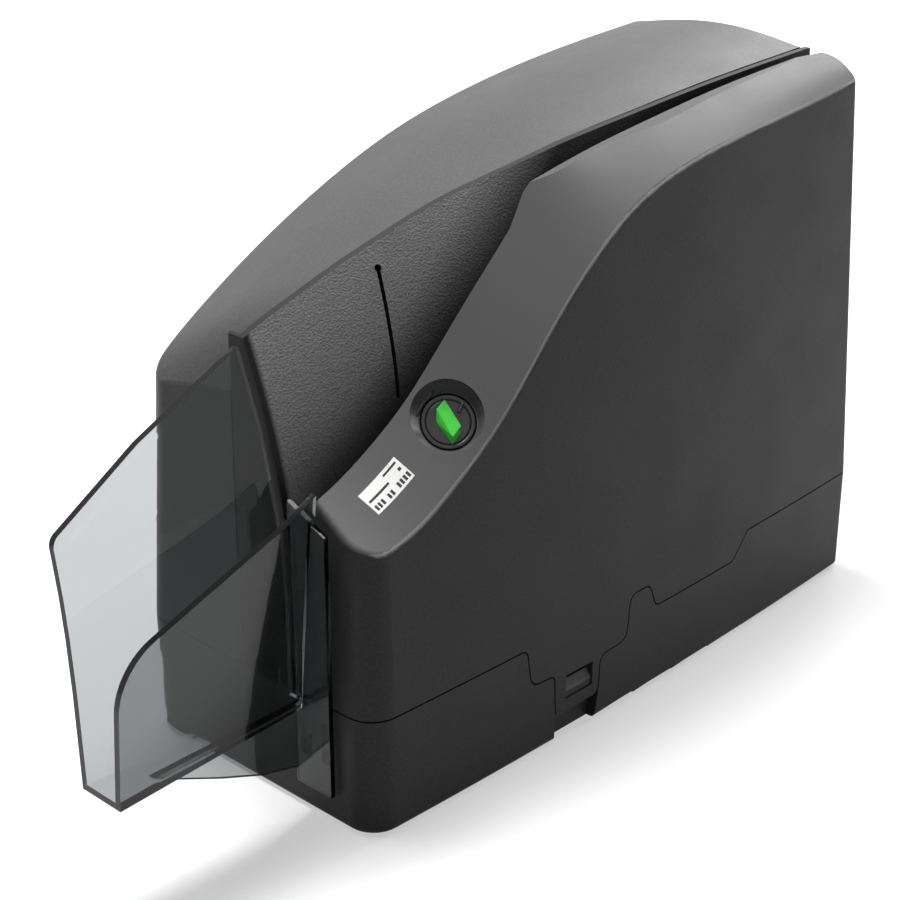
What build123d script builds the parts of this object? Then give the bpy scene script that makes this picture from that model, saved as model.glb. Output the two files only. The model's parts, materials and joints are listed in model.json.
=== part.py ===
"""Desktop cheque scanner: two towers with an upright document track between them, on a shared base.

Frame: +X runs from the exit tray end to the entry end, -Y is the near side with the button, the latch and
the swinging door tower, +Z is up. The pieces are drawn about the body's own middle, on the resting surface,
and written out moved so that the origin is under the middle of the whole box. Millimetres.
"""
from build123d import *
from math import atan2, cos, hypot, pi, sin, sqrt
import os

# ---------------------------------------------------------------- driving dimensions
# body
LENGTH = 230.0
NEAR_DEPTH = 45.0          # middle line to the near side at its two ends
NEAR_BOW = 3.0             # how far the near side bulges at mid length
FAR_DEPTH_FRONT = 50.0     # middle line to the far side at the tray end
FAR_DEPTH_REAR = 54.0      # and at the entry end
FAR_BOW = 2.0
CORNER_R = 9.0             # upright corners at the tray end
REAR_CORNER_R = 3.0        # upright corners at the entry end
SEAM_Z = 36.5              # lower edge of both towers
CROWN_Z = 183.6            # highest point of the far tower
WALL = 2.5
SEAM_GAP = 0.5
FAR_RIM_R = 2.5            # rounding of the far roof's outer edges
NEAR_RIM_R = 2.0           # and of the near band's
BASE_RIM_R = 1.5           # and of the base's lower edge
NEAR_RIM_Y = -40.0         # the band's edges outside these are rounded
NEAR_RIM_X = 100.0
FOOT_PROUD = 0.8           # how far the feet lift the base off the table

# lean of the tower walls, in mm per mm of height above the seam
NEAR_LEAN = 0.040
FRONT_LEAN = 0.012
REAR_LEAN = 0.038
FAR_LEAN_FRONT = 0.085
FAR_LEAN_REAR = 0.031

# document track
TRACK_Y = -21.5            # far face of the track
TRACK_GAP = 3.0
POCKET_X = -38.0           # where the track opens into the exit pocket
MOUTH_X = 96.0             # where the track starts to flare at the entry end
MOUTH_FLARE = 3.0
RIDGE_FRONT = 22.0         # how far the ridge line swings away from the track at the tray end
FOOT_FRONT = 7.5           # the same for the bottom line of the far guide wall
NEAR_FOOT_FRONT = 6.0      # the near wall's bottom line follows it this far
GUIDE_T = 2.2              # thickness of the two guide walls
FIT = 0.3                  # assembly clearance between mouldings

# drive train
TYRE_R = 8.0
TYRE_BITE = 1.2            # how far a drive tyre stands into the track
TYRE_H = 12.0
HUB_R = 5.0
SHAFT_R = 2.0
RUN = 0.05                 # radial running clearance
BUSH_R = 4.0
BUSH_T = 3.0
ROLLER_X = {"entry": 66.0, "exit": -24.0}
TYRE_Z = (52.0, 88.0)
BRACKET_TOP = 112.0
BRACKET_T = 1.6
PULLEY_R = 9.0
MOTOR_PULLEY_R = 6.0
PULLEY_H = 7.0
PULLEY_Z = 21.0            # lower face of the pulleys
BELT_T = 1.4
BELT_H = 5.6
MOTOR_X = 22.0
MOTOR_Y = 24.0
MOTOR_W = 35.2
MOTOR_H = 36.0
MOTOR_SHAFT_R = 2.5

# idler side
IDLER_R = 6.5
IDLER_GAP = 0.3            # between an idler and its drive tyre with the door shut
ARM_REACH = 16.0
ARM_PIN_R = 1.25
IDLER_PIN_R = 1.25

# readers
HEAD_X = 42.0
FAR_SENSOR_X = 14.0
NEAR_SENSOR_X = -4.0
MAGNET_X = 84.0
EYE_X = 98.0
SENSOR_W = 14.0
SENSOR_D = 9.0
SENSOR_Z = 38.0
SENSOR_H = 104.0
GLASS_T = 1.0

# hinge and latch
HINGE_X = 106.0
HINGE_Y = -33.0
POST_R = 2.5
POST_TOP = 98.0
KNUCKLE_R = 4.2
KNUCKLE_H = 12.0
KNUCKLE_Z = (40.0, 80.0)
LATCH_X = -32.0
LATCH_W = 11.4

# button
DISH_R = 10.1
DISH_DEPTH = 2.2
DISH_OFFSET = (-0.65, 1.1)   # the dish's rim is off the button's axis, which leaves a deeper upper wall
DISC_R = 7.45
DISC_T = 1.2
DISC_GAP = 0.35
BUTTON_TRAVEL = 0.8

# sockets and boards
BOARD_T = 1.6
BOARD_Z = 9.0
USB_Y = 10.0
JACK_Y = 32.0

# exit tray
TRAY_T = 2.0
TRAY_REACH = 66.0          # how far the tray stands out from the body
TRAY_GAP = 0.7             # between the tray flange and the front face
TRAY_FLOOR_Z = 33.6        # underside of the tray floor
TRAY_LIFT = 6.0

X_FRONT = -LENGTH / 2
X_REAR = LENGTH / 2
BASE_TOP = SEAM_Z - SEAM_GAP
DECK_T = 2.5
DECK_Z = BASE_TOP - DECK_T
NEAR_TRACK_Y = TRACK_Y - TRACK_GAP
SHAFT_Y = TRACK_Y - TYRE_BITE + TYRE_R
IDLER_Y = TRACK_Y - TYRE_BITE - IDLER_GAP - IDLER_R
OVER = 20.0                # how far cutting bodies run past what they cut

# ---------------------------------------------------------------- outlines, in mm on the 230 x 183.6 body
DRAWN_LENGTH = 230.0
# far tower: distance from the tray end, then how far the skin lies below the crown at three depths
FAR_STATIONS = (-1.0, 3.0, 9.0, 17.0, 30.0, 45.0, 65.0, 85.0, 107.0, 133.0, 165.0, 200.0, 231.0)
FAR_DROPS = {
    -25.0: (71.6, 60.6, 49.6, 41.6, 35.0, 30.6, 25.2, 21.8, 17.8, 14.0, 9.9, 6.9, 5.2),
    12.0: (71.6, 62.6, 53.1, 46.6, 39.8, 33.3, 25.6, 19.8, 14.3, 9.7, 5.4, 2.1, 0.0),
    50.0: (76.6, 72.6, 68.1, 62.8, 54.3, 45.4, 35.3, 26.7, 19.6, 14.0, 9.4, 6.2, 4.1),
}
# near tower: the same, for the sloping band along its upper edge
NEAR_STATIONS = (-1.0, 10.0, 20.0, 33.0, 45.0, 60.0, 75.0, 90.0, 107.0, 127.0, 155.0, 190.0, 231.0)
NEAR_DROPS = {
    -46.0: (101.1, 101.2, 98.2, 90.9, 83.1, 70.0, 54.8, 42.4, 31.0, 24.6, 21.3, 20.7, 20.8),
    -35.0: (95.1, 92.0, 87.3, 78.5, 68.3, 54.7, 41.1, 29.3, 22.2, 16.7, 12.8, 9.9, 7.3),
    -24.0: (88.1, 82.9, 76.3, 66.1, 53.6, 39.3, 27.4, 16.2, 14.1, 10.7, 8.0, 5.9, 4.9),
}
# ridge line along the top of the track, shared by the far guide wall and the near tower
RIDGE_STATIONS = (-1.0, 9.0, 17.0, 30.0, 45.0, 65.0, 85.0, 107.0, 133.0, 165.0, 200.0, 231.0)
RIDGE_DROPS = (51.3, 45.9, 42.2, 36.5, 30.8, 24.3, 20.1, 16.0, 12.4, 8.7, 5.9, 4.2)
# lower edge of the near tower with its latch tongue: x from mid length, height, corner radius
SEAM_CORNERS = (
    (-55.0, SEAM_Z, 3.0), (-53.0, 23.6, 3.8), (-42.9, 23.2, 2.4), (-42.2, 9.0, 0.8), (-23.4, 9.0, 2.4),
    (-22.6, 21.6, 3.0), (-10.4, 22.0, 3.6), (-9.0, SEAM_Z, 3.6), (0.6, SEAM_Z, 3.6),
    (4.2, 28.0, 2.8), (44.5, 28.0, 3.0), (52.5, SEAM_Z, 3.0),
)


def along(station):
    """X of a station measured from the tray end of the drawn body."""
    return X_FRONT + station * LENGTH / DRAWN_LENGTH


# ---------------------------------------------------------------- small helpers
def block(x0, x1, y0, y1, z0, z1):
    return Pos((x0 + x1) / 2, (y0 + y1) / 2, (z0 + z1) / 2) * Box(x1 - x0, y1 - y0, z1 - z0)


def rod(x, y, z0, z1, r):
    return Pos(x, y, (z0 + z1) / 2) * Cylinder(r, z1 - z0)


def rod_x(x0, x1, y, z, r):
    return Pos((x0 + x1) / 2, y, z) * Rot(0, 90, 0) * Cylinder(r, x1 - x0)


def rod_y(x, y0, y1, z, r):
    return Pos(x, (y0 + y1) / 2, z) * Rot(90, 0, 0) * Cylinder(r, y1 - y0)


def tube(x, y, z0, z1, r_out, r_in):
    return rod(x, y, z0, z1, r_out) - rod(x, y, z0 - 1, z1 + 1, r_in)


def flat(points):
    """Planar face through a closed ring of points."""
    return Face(Wire.make_polygon([Vector(*p) for p in points], close=True))


def screw(x, y, z, length, r=1.25, head_r=2.4, head_t=1.6, up=True):
    """Pan head screw whose head sits on height z; it points up or down."""
    way = 1 if up else -1
    shank = rod(x, y, min(z, z + way * length), max(z, z + way * length), r)
    head = rod(x, y, min(z, z - way * head_t), max(z, z - way * head_t), head_r)
    cross = block(x - 1.3, x + 1.3, y - 0.3, y + 0.3, z - way * head_t - 0.6, z - way * head_t + 0.6)
    cross += block(x - 0.3, x + 0.3, y - 1.3, y + 1.3, z - way * head_t - 0.6, z - way * head_t + 0.6)
    return shank + head - cross


# ---------------------------------------------------------------- body shapes
def plan_face(z, inset=0.0):
    """Plan outline of the whole body at height z, drawn in by inset."""
    rise = max(z - SEAM_Z, 0.0)
    x0 = X_FRONT + FRONT_LEAN * rise + inset
    x1 = X_REAR - REAR_LEAN * rise - inset
    near = -NEAR_DEPTH + NEAR_LEAN * rise + inset
    far_0 = FAR_DEPTH_FRONT - FAR_LEAN_FRONT * rise - inset
    far_1 = FAR_DEPTH_REAR - FAR_LEAN_REAR * rise - inset
    edges = [
        ThreePointArc((x0, near), ((x0 + x1) / 2, near - NEAR_BOW), (x1, near)),
        Line((x1, near), (x1, far_1)),
        ThreePointArc((x1, far_1), ((x0 + x1) / 2, (far_0 + far_1) / 2 + FAR_BOW), (x0, far_0)),
        Line((x0, far_0), (x0, near)),
    ]
    outline = make_face(edges)
    front = outline.vertices().sort_by(Axis.X)[:2]
    outline = fillet(front, max(CORNER_R - inset, 1.0))
    rear = outline.vertices().sort_by(Axis.X)[-2:]
    outline = fillet(rear, max(REAR_CORNER_R - inset, 0.5))
    return Pos(0, 0, z) * outline


def prism(z0, z1, inset=0.0):
    """Body between two heights, with leaning walls above the seam."""
    return loft([plan_face(z0, inset).face(), plan_face(z1, inset).face()], ruled=True)


def beyond(edge, inner, reach=8.0):
    """Row of drops carried on in a straight line past the edge row."""
    (y, row), (y_in, row_in) = edge, inner
    share = reach / abs(y - y_in)
    return y + reach * (1 if y > y_in else -1), [a + (a - b) * share for a, b in zip(row, row_in)]


def under_skin(stations, drops, lower=0.0):
    """Everything below a skin lofted over upright profiles, lowered by lower."""
    rows = sorted(drops.items())
    faces = []
    for y, row in [beyond(rows[0], rows[1])] + rows + [beyond(rows[-1], rows[-2])]:
        tops = [Vector(along(s), y, CROWN_Z - d - lower) for s, d in zip(stations, row)]
        start, end = tops[0], tops[-1]
        foot_0 = Vector(start.X, y, -OVER)
        foot_1 = Vector(end.X, y, -OVER)
        sides = [Edge.make_line(foot_0, start), Edge.make_spline(tops), Edge.make_line(end, foot_1),
                 Edge.make_line(foot_1, foot_0)]
        faces.append(Face(Wire(sides)))
    return loft(faces)


def under_ridge(lower=0.0, y0=-60.0, y1=60.0):
    """Everything below the ridge line, between two depths."""
    tops = [Vector(along(s), y0, CROWN_Z - d - lower) for s, d in zip(RIDGE_STATIONS, RIDGE_DROPS)]
    foot_0 = Vector(tops[0].X, y0, -OVER)
    foot_1 = Vector(tops[-1].X, y0, -OVER)
    sides = [Edge.make_line(foot_0, tops[0]), Edge.make_spline(tops), Edge.make_line(tops[-1], foot_1),
             Edge.make_line(foot_1, foot_0)]
    return extrude(Face(Wire(sides)), amount=y1 - y0, dir=(0, 1, 0))


def between(pairs, x):
    """Straight-line value at x from sorted (x, value) pairs."""
    for (xa, va), (xb, vb) in zip(pairs, pairs[1:]):
        if x <= xb or (xb, vb) == pairs[-1]:
            return va + (vb - va) * (x - xa) / (xb - xa)


def ridge_z(x):
    return between([(along(s), CROWN_Z - d) for s, d in zip(RIDGE_STATIONS, RIDGE_DROPS)], x)


def ridge_y(x):
    """Plan line of the ridge: it swings away from the track as a parabola towards the tray end."""
    share = (X_REAR - 3.0 - x) / (LENGTH - 3.0)
    return TRACK_Y + 0.5 + RIDGE_FRONT * share * abs(share)


def far_foot_y(x):
    """Plan line of the far guide wall at its bottom: straight track, then a slanting pocket."""
    return TRACK_Y + FOOT_FRONT * max((POCKET_X - x) / (POCKET_X - X_FRONT), 0.0)


POCKET_STATIONS = (-1.5, 20.0, 40.0, 58.0, 77.0)
CURL = ((0.0, 0.0), (0.35, 0.06), (0.7, 0.46), (1.0, 1.0), (1.2, 1.44))   # share of height, share of swing
STRAIGHT_STATIONS = (77.0, 100.0, 120.0, 140.0, 160.0, 180.0, 205.0, 231.5)


def curl_height(x):
    """Height over which the far guide wall curls away from the track."""
    return between([(X_FRONT, 72.0), (POCKET_X, 50.0), (FAR_SENSOR_X - 10.0, 28.0), (X_REAR, 28.0)], x)


def track_side_section(x, offset):
    """Upright cross section of everything on the track side of the far guide wall."""
    foot = far_foot_y(x) + offset
    swing = ridge_y(x) - far_foot_y(x)
    rise = curl_height(x)
    start = ridge_z(x) - rise
    ring = [Vector(x, foot + swing * share, start + rise * t) for t, share in CURL]
    low, deep, high = Vector(x, foot, -OVER), Vector(x, -80, -OVER), Vector(x, -80, ring[-1].Z)
    return Face(Wire([Edge.make_line(low, ring[0]), Edge.make_spline(ring), Edge.make_line(ring[-1], high),
                      Edge.make_line(high, deep), Edge.make_line(deep, low)]))


def far_track_side(offset=0.0):
    """Everything on the track side of the far guide wall's face, the face moved back by offset."""
    pocket = loft([track_side_section(along(s), offset) for s in POCKET_STATIONS])
    straight = loft([track_side_section(along(s), offset) for s in STRAIGHT_STATIONS], ruled=True)
    return pocket + straight


def near_wall_y(x, z):
    """Depth of the near guide wall's face."""
    pocket_end = POCKET_X + 4.0
    foot = between([(X_FRONT, NEAR_TRACK_Y + NEAR_FOOT_FRONT), (pocket_end, NEAR_TRACK_Y),
                    (MOUTH_X, NEAR_TRACK_Y), (X_REAR, NEAR_TRACK_Y - MOUTH_FLARE)], x)
    head = between([(X_FRONT, NEAR_TRACK_Y - 0.5), (POCKET_X - 3.0, NEAR_TRACK_Y - 1.6),
                    (pocket_end, NEAR_TRACK_Y), (MOUTH_X, NEAR_TRACK_Y),
                    (X_REAR, NEAR_TRACK_Y - MOUTH_FLARE)], x)
    top = between([(X_FRONT, 95.0), (POCKET_X, 154.0), (X_REAR, 154.0)], x)
    return foot + (head - foot) * (z - BASE_TOP) / (top - BASE_TOP)


def near_track_side(offset=0.0):
    """Everything on the track side of the near guide wall's face, the face moved towards -Y by offset."""
    xs = (X_FRONT - 1.5, POCKET_X - 3.0, POCKET_X + 4.0, MOUTH_X, X_REAR + 1.5)
    faces = []
    for x in xs:
        low, high = -OVER, CROWN_Z + OVER
        y_low = near_wall_y(x, low) - offset
        y_high = near_wall_y(x, high) - offset
        faces.append(flat([(x, y_low, low), (x, y_high, high), (x, 90, high), (x, 90, low)]))
    return loft(faces, ruled=True)


def seam_face(far_z, grow=0.0):
    """Upright face between the near tower's lower edge, tongue and all, and a height far above or below it."""
    corners = [(X_FRONT - OVER, SEAM_Z)] + [(x, z) for x, z, r in SEAM_CORNERS] + [(X_REAR + OVER, SEAM_Z)]
    path = FilletPolyline(*corners, radius=[r for x, z, r in SEAM_CORNERS])
    close = Polyline((X_REAR + OVER, SEAM_Z), (X_REAR + OVER, far_z), (X_FRONT - OVER, far_z),
                     (X_FRONT - OVER, SEAM_Z))
    face = make_face(path.edges() + close.edges())
    if grow:
        face = offset(face, amount=grow)
    return Plane.XZ * face


def near_side(inset, z0, z1, spare=0.0):
    """Everything outside a depth of inset on the near side, beside the latch tongue."""
    core = extrude(plan_face(z0 - 1, inset), amount=z1 - z0 + 2)
    return block(RECESS_X[0] - spare, RECESS_X[1] + spare, -80, -20, z0, z1) - core


# ---------------------------------------------------------------- base
NEAR_THICK = 5.5           # near wall of the base behind the tongue recess
RECESS = WALL + SEAM_GAP
CLEAR_OF_DECK = 0.03       # keeps the recess's straight edge off the deck's own plane
RECESS_X = (-60.0, 58.0)
LATCH_WINDOW = (-39.6, -23.8, 9.5, 31.0)
HOOK_SLOT_Z = (19.0, 24.0)
HOOK_SLOT_Y = ((-30.0, -27.0), (-22.0, -19.0))
SOCKET_Z = BOARD_Z + BOARD_T
USB_SIZE = (16.0, 12.2, 11.0)
JACK_SIZE = (14.0, 9.2, 11.2)
FEET = [(x, y) for x in (-98.0, 96.0) for y in (-32.0, 30.0)]
BASE_SCREWS = [(x, y) for x in (-84.0, 82.0) for y in (-33.0, 34.0)]
BASE_FLOOR_T = 2.5
FOOT_R = 6.0


def base_shell():
    body = prism(FOOT_PROUD, BASE_TOP)
    body = fillet(body.edges().group_by(Axis.Z)[0], BASE_RIM_R)
    shell = body - prism(FOOT_PROUD - 1, DECK_Z, WALL)
    shell += body & near_side(NEAR_THICK, FOOT_PROUD, BASE_TOP)
    recess = extrude(seam_face(SEAM_Z + OVER, SEAM_GAP), amount=80) & near_side(RECESS, -1.0, BASE_TOP + 5)
    recess = Pos(0, 0, CLEAR_OF_DECK) * recess
    shell -= recess
    shell -= finger_recess()
    x0, x1, z0, z1 = LATCH_WINDOW
    shell -= block(x0, x1, -46, -38, z0, z1)
    for y0, y1 in HOOK_SLOT_Y:
        shell -= block(X_FRONT - 1, X_FRONT + WALL + 1, y0 - 0.5, y1 + 0.5, HOOK_SLOT_Z[0] - 1.0,
                       HOOK_SLOT_Z[1] + TRAY_LIFT + 1.0)
    shell -= block(X_REAR - WALL - 1, X_REAR + 1, USB_Y - USB_SIZE[1] / 2 - FIT, USB_Y + USB_SIZE[1] / 2 + FIT,
                   SOCKET_Z - FIT, SOCKET_Z + USB_SIZE[2] + FIT)
    shell -= block(X_REAR - WALL - 1, X_REAR + 1, JACK_Y - JACK_SIZE[1] / 2 - FIT,
                   JACK_Y + JACK_SIZE[1] / 2 + FIT, SOCKET_Z - FIT, SOCKET_Z + JACK_SIZE[2] + FIT)
    shell += rod(HINGE_X, HINGE_Y, POST_FOOT_Z, DECK_Z + 0.5, KNUCKLE_R)
    shell -= rod(HINGE_X, HINGE_Y, POST_FOOT_Z, BASE_TOP + 1, POST_R)
    for x in ROLLER_X.values():
        shell -= rod(x, SHAFT_Y, DECK_Z - 1, BASE_TOP + 1, BUSH_R + FIT)
    shell -= rod(MOTOR_X, MOTOR_Y, DECK_Z - 1, BASE_TOP + 1, MOTOR_SHAFT_R + 1.5)
    floor_top = FOOT_PROUD + BASE_FLOOR_T
    for x, y in BASE_SCREWS:
        shell += rod(x, y, floor_top, DECK_Z + 0.5, SCREW_BOSS_R)
        shell -= rod(x, y, floor_top - 1, floor_top + SCREW_LENGTH, SCREW_R)
    for x, y in BOARD_SCREWS:
        shell += rod(x, y, BOARD_Z + BOARD_T, DECK_Z + 0.5, STANDOFF_R)
        shell -= rod(x, y, BOARD_Z - 1, BOARD_Z + BOARD_T + SCREW_LENGTH, SCREW_R)
    for x, y in all_deck_screws():
        shell -= rod(x, y, DECK_Z - 1, BASE_TOP + 1, SCREW_R)
    return shell


def finger_recess():
    """Thumb hollow under the latch tongue, its right side slanted."""
    face = flat([(-42.7, 0, -1), (-42.7, 0, 9.6), (-22.9, 0, 9.6), (-24.9, 0, -1)])
    return extrude(face, amount=80, dir=(0, -1, 0)) & near_side(RECESS, -1.0, 10.0)


SCREW_R = 1.25
SCREW_HEAD_R = 2.4
SCREW_HEAD_T = 1.6
SCREW_LENGTH = 9.0
SCREW_BOSS_R = 4.0
STANDOFF_R = 3.0
POST_FOOT_Z = 20.0
FOOT_PEG_R = 2.0


def bottom_plate():
    plate = prism(FOOT_PROUD, FOOT_PROUD + BASE_FLOOR_T, WALL + FIT)
    plate -= near_side(NEAR_THICK + FIT, -1, 10, FIT)
    for x, y in FEET:
        plate -= rod(x, y, FOOT_PROUD - 1, FOOT_PROUD + 1.0, FOOT_R + 0.1)
        plate -= rod(x, y, FOOT_PROUD - 1, FOOT_PROUD + 5, FOOT_PEG_R)
    for x, y in BASE_SCREWS:
        plate -= rod(x, y, -1, FOOT_PROUD + 5, SCREW_R)
        plate -= rod(x, y, -1, FOOT_PROUD + SCREW_HEAD_T, SCREW_HEAD_R + 0.1)
    return plate


def rubber_feet():
    feet = []
    for x, y in FEET:
        disc = rod(x, y, 0, FOOT_PROUD + 1.0, FOOT_R)
        disc = fillet(disc.edges().group_by(Axis.Z)[0], 0.5)
        feet.append(disc + rod(x, y, FOOT_PROUD, FOOT_PROUD + BASE_FLOOR_T, FOOT_PEG_R))
    return feet


def base_screws():
    z = FOOT_PROUD + SCREW_HEAD_T
    return [screw(x, y, z, SCREW_LENGTH) for x, y in BASE_SCREWS]


# ---------------------------------------------------------------- far tower
RIM_GAP = 0.4              # between the far cover and the far guide wall's rim
SKIN_DROP = 1.5            # vertical thickness of a sloping skin, in walls
FLANGE_T = 2.0             # front end plate of the far guide wall
COVER_BOSSES = [(-96.0, 20.0), (104.0, -2.0), (100.0, 42.0), (-62.0, 30.0)]
COVER_BOSS_R = 4.0


def softened(outer, r, on_rim):
    """Tower body with those edges of its sloping skin rounded whose middle passes the test."""
    skin = outer.faces().filter_by(GeomType.BSPLINE).sort_by(Axis.Z)[-1]
    return fillet(skin.edges().filter_by(lambda e: on_rim(e.center())), r)


def far_cover():
    outer = prism(SEAM_Z, CROWN_Z + OVER) & under_skin(FAR_STATIONS, FAR_DROPS)
    outer = softened(outer, FAR_RIM_R, lambda c: c.Y > TRACK_Y)
    cavity = prism(SEAM_Z - 1, CROWN_Z + OVER, WALL) & under_skin(FAR_STATIONS, FAR_DROPS, SKIN_DROP * WALL)
    cover = outer - far_track_side(GUIDE_T + RIM_GAP) - cavity
    cover -= block(X_FRONT - 5, X_FRONT + FLANGE_T + RIM_GAP, -60, FLANGE_Y + RIM_GAP, SEAM_Z - 1, CROWN_Z)
    for x, y in COVER_BOSSES:
        cover += rod(x, y, BASE_TOP, SEAM_Z + COVER_BOSS_H, COVER_BOSS_R)
        cover += boss_web(x, y)
        cover -= rod(x, y, BASE_TOP - 1, DECK_Z + SCREW_LENGTH, SCREW_R)
    return cover


COVER_BOSS_H = 14.0
FLANGE_Y = 6.7             # far edge of the front end plate


def boss_web(x, y):
    """Flat rib that ties a screw boss to the nearest wall of the far cover."""
    inside = prism(SEAM_Z, SEAM_Z + COVER_BOSS_H, WALL - 0.5)
    rib = block(x, X_REAR, y - 1, y + 1, SEAM_Z, SEAM_Z + COVER_BOSS_H) if x > 0 else \
        block(x - 1, x + 1, y, 60, SEAM_Z, SEAM_Z + COVER_BOSS_H)
    return rib & inside


def far_guide_wall():
    body = prism(SEAM_Z - SEAM_GAP, CROWN_Z + OVER)
    wall = (far_track_side(GUIDE_T) - far_track_side()) & under_ridge() & body
    plate = block(X_FRONT - 1, X_FRONT + FLANGE_T, -60, FLANGE_Y, BASE_TOP, CROWN_Z) & under_ridge() & body
    wall += plate - far_track_side(0.5)
    for x in ROLLER_X.values():
        for z in TYRE_Z:
            wall -= block(x - TYRE_WINDOW / 2, x + TYRE_WINDOW / 2, TRACK_Y - 3, TRACK_Y + 5,
                          z - TYRE_H / 2 - 1, z + TYRE_H / 2 + 1)
    wall -= block(HEAD_X - HEAD_W / 2 - FIT, HEAD_X + HEAD_W / 2 + FIT, TRACK_Y - 3, TRACK_Y + 5,
                  HEAD_Z - FIT, HEAD_Z + HEAD_H + FIT)
    wall -= block(FAR_SENSOR_X - SENSOR_W / 2 - FIT, FAR_SENSOR_X + SENSOR_W / 2 + FIT, TRACK_Y - 3, TRACK_Y + 5,
                  SENSOR_Z - FIT, SENSOR_Z + SENSOR_H + FIT)
    wall -= rod_y(EYE_X, TRACK_Y - 3, TRACK_Y + 5, EYE_Z, EYE_R + 0.2)
    wall -= slit()
    return wall


TYRE_WINDOW = 14.6
HEAD_W = 10.0
HEAD_H = 16.0
HEAD_Z = 41.0
HEAD_PROUD = 0.8
EYE_R = 2.0
EYE_Z = 60.0
SLIT_W = 1.1
SLIT_HEAD_R = 1.0
SLIT_ENDS = ((-74.0, 145.2), (-75.5, 111.0))


def slit():
    """Narrow upright slot in the exit pocket's far wall, with a rounded head."""
    line = Line(*SLIT_ENDS)
    face = Plane.XZ * make_face(offset(line, amount=SLIT_W / 2).edges())
    head = Plane.XZ * (Pos(*SLIT_ENDS[0]) * Circle(SLIT_HEAD_R))
    return extrude(face, amount=30, both=True) + extrude(head, amount=30, both=True)


# ---------------------------------------------------------------- near tower (the door)
RING_FAR_Y = -20.0


def apron():
    """Tongue and shallow wave of the near skin that hang below the seam."""
    strip = prism(FOOT_PROUD, SEAM_Z) & near_side(WALL, FOOT_PROUD, SEAM_Z)
    below = Pos(0, RING_FAR_Y, 0) * extrude(seam_face(-OVER), amount=80)
    return Part(strip.wrapped) - Pos(0, 0, -0.001) * below


def door_cover():
    outer = prism(SEAM_Z, CROWN_Z + OVER) & under_skin(NEAR_STATIONS, NEAR_DROPS) & under_ridge()
    outer = softened(outer, NEAR_RIM_R, lambda c: c.Y < NEAR_RIM_Y or abs(c.X) > NEAR_RIM_X)
    cavity = prism(SEAM_Z - 1, CROWN_Z + OVER, WALL) & under_skin(NEAR_STATIONS, NEAR_DROPS, SKIN_DROP * WALL)
    cavity = cavity & under_ridge(WALL)
    cover = outer - near_track_side() - cavity
    cover += apron()
    cover += button_cup()
    cover -= button_cuts()
    x0, x1, z0, z1 = TONGUE_WINDOW
    cover -= block(x0, x1, -60, -40, z0, z1)
    for side in (-1, 1):
        rail_x = LATCH_X + side * (LATCH_W / 2 + RAIL_GAP + RAIL_T / 2)
        cover += block(rail_x - RAIL_T / 2, rail_x + RAIL_T / 2, LATCH_Y0 - 1.2, LATCH_Y1, 12.0, LEDGE_Z + 1.5)
    half = LATCH_W / 2 + RAIL_GAP
    cover += block(LATCH_X - half, LATCH_X + half, LATCH_Y0 - 1.2, LATCH_Y1, LEDGE_Z, LEDGE_Z + 1.5)
    for x, z in DOOR_SCREWS:
        cover += rod_y(x, -60, door_boss_y(x, z), z, DOOR_BOSS_R) & prism(SEAM_Z - 1, CROWN_Z, WALL - 0.5)
        cover -= rod_y(x, door_boss_y(x, z) - SCREW_LENGTH, door_boss_y(x, z) + 1, z, SCREW_R)
    return cover


TONGUE_WINDOW = (-38.0, -26.0, 13.0, 20.9)
RAIL_GAP = 0.2
RAIL_T = 1.1
LATCH_Y0 = -44.9           # outer face of the latch slider, just behind the tongue
LATCH_Y1 = -42.6
LEDGE_Z = 28.5
DOOR_SCREWS = [(-60.0, 60.0), (20.0, 120.0), (84.0, 120.0), (20.0, 44.0)]
DOOR_BOSS_R = 3.5


def door_boss_y(x, z):
    """Depth at which a screw boss meets the back of the door's guide wall."""
    return near_wall_y(x + DOOR_BOSS_R, z + DOOR_BOSS_R) - GUIDE_T - 0.05


# frame of the start button: centre on the sloping band, normal outwards
BUTTON_X = -74.77
BUTTON_Y = -35.52
BUTTON_Z = 109.19
BUTTON_NORMAL = (-0.88, -1.26, 1.0)
CUP_R = 11.6
BORE_R = DISC_R + DISC_GAP
BORE_DEPTH = DISH_DEPTH + 2.1
CUP_DEPTH = BORE_DEPTH + 1.0
STEM_R = 2.0
STEM_END = CUP_DEPTH + 0.9
DISC_TOP = DISH_DEPTH - 0.2


def button_place():
    return Plane(origin=(BUTTON_X, BUTTON_Y, BUTTON_Z), x_dir=(1.26, -0.88, 0), z_dir=BUTTON_NORMAL)


def sunk(depth_0, depth_1, r_0, r_1=None):
    """Round body in the button's frame between two depths under the band, straight or tapered."""
    height = depth_1 - depth_0
    shape = Cylinder(r_0, height) if r_1 is None else Cone(r_1, r_0, height)
    return button_place() * Pos(0, 0, -(depth_0 + depth_1) / 2) * shape


def button_cup():
    cup = sunk(-6, CUP_DEPTH, CUP_R) & under_skin(NEAR_STATIONS, NEAR_DROPS)
    return cup & prism(SEAM_Z, CROWN_Z, WALL - 0.5) - near_track_side(GUIDE_T + FIT)


def button_cuts():
    rim = button_place() * Pos(*DISH_OFFSET, 0) * Circle(DISH_R)
    floor = button_place() * Pos(0, 0, -DISH_DEPTH) * Circle(BORE_R + 0.3)
    dish = loft([rim.face(), floor.face()]) + extrude(rim, amount=8)
    return dish + sunk(0, BORE_DEPTH, BORE_R) + sunk(0, CUP_DEPTH + 2, STEM_R + RUN)


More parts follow.
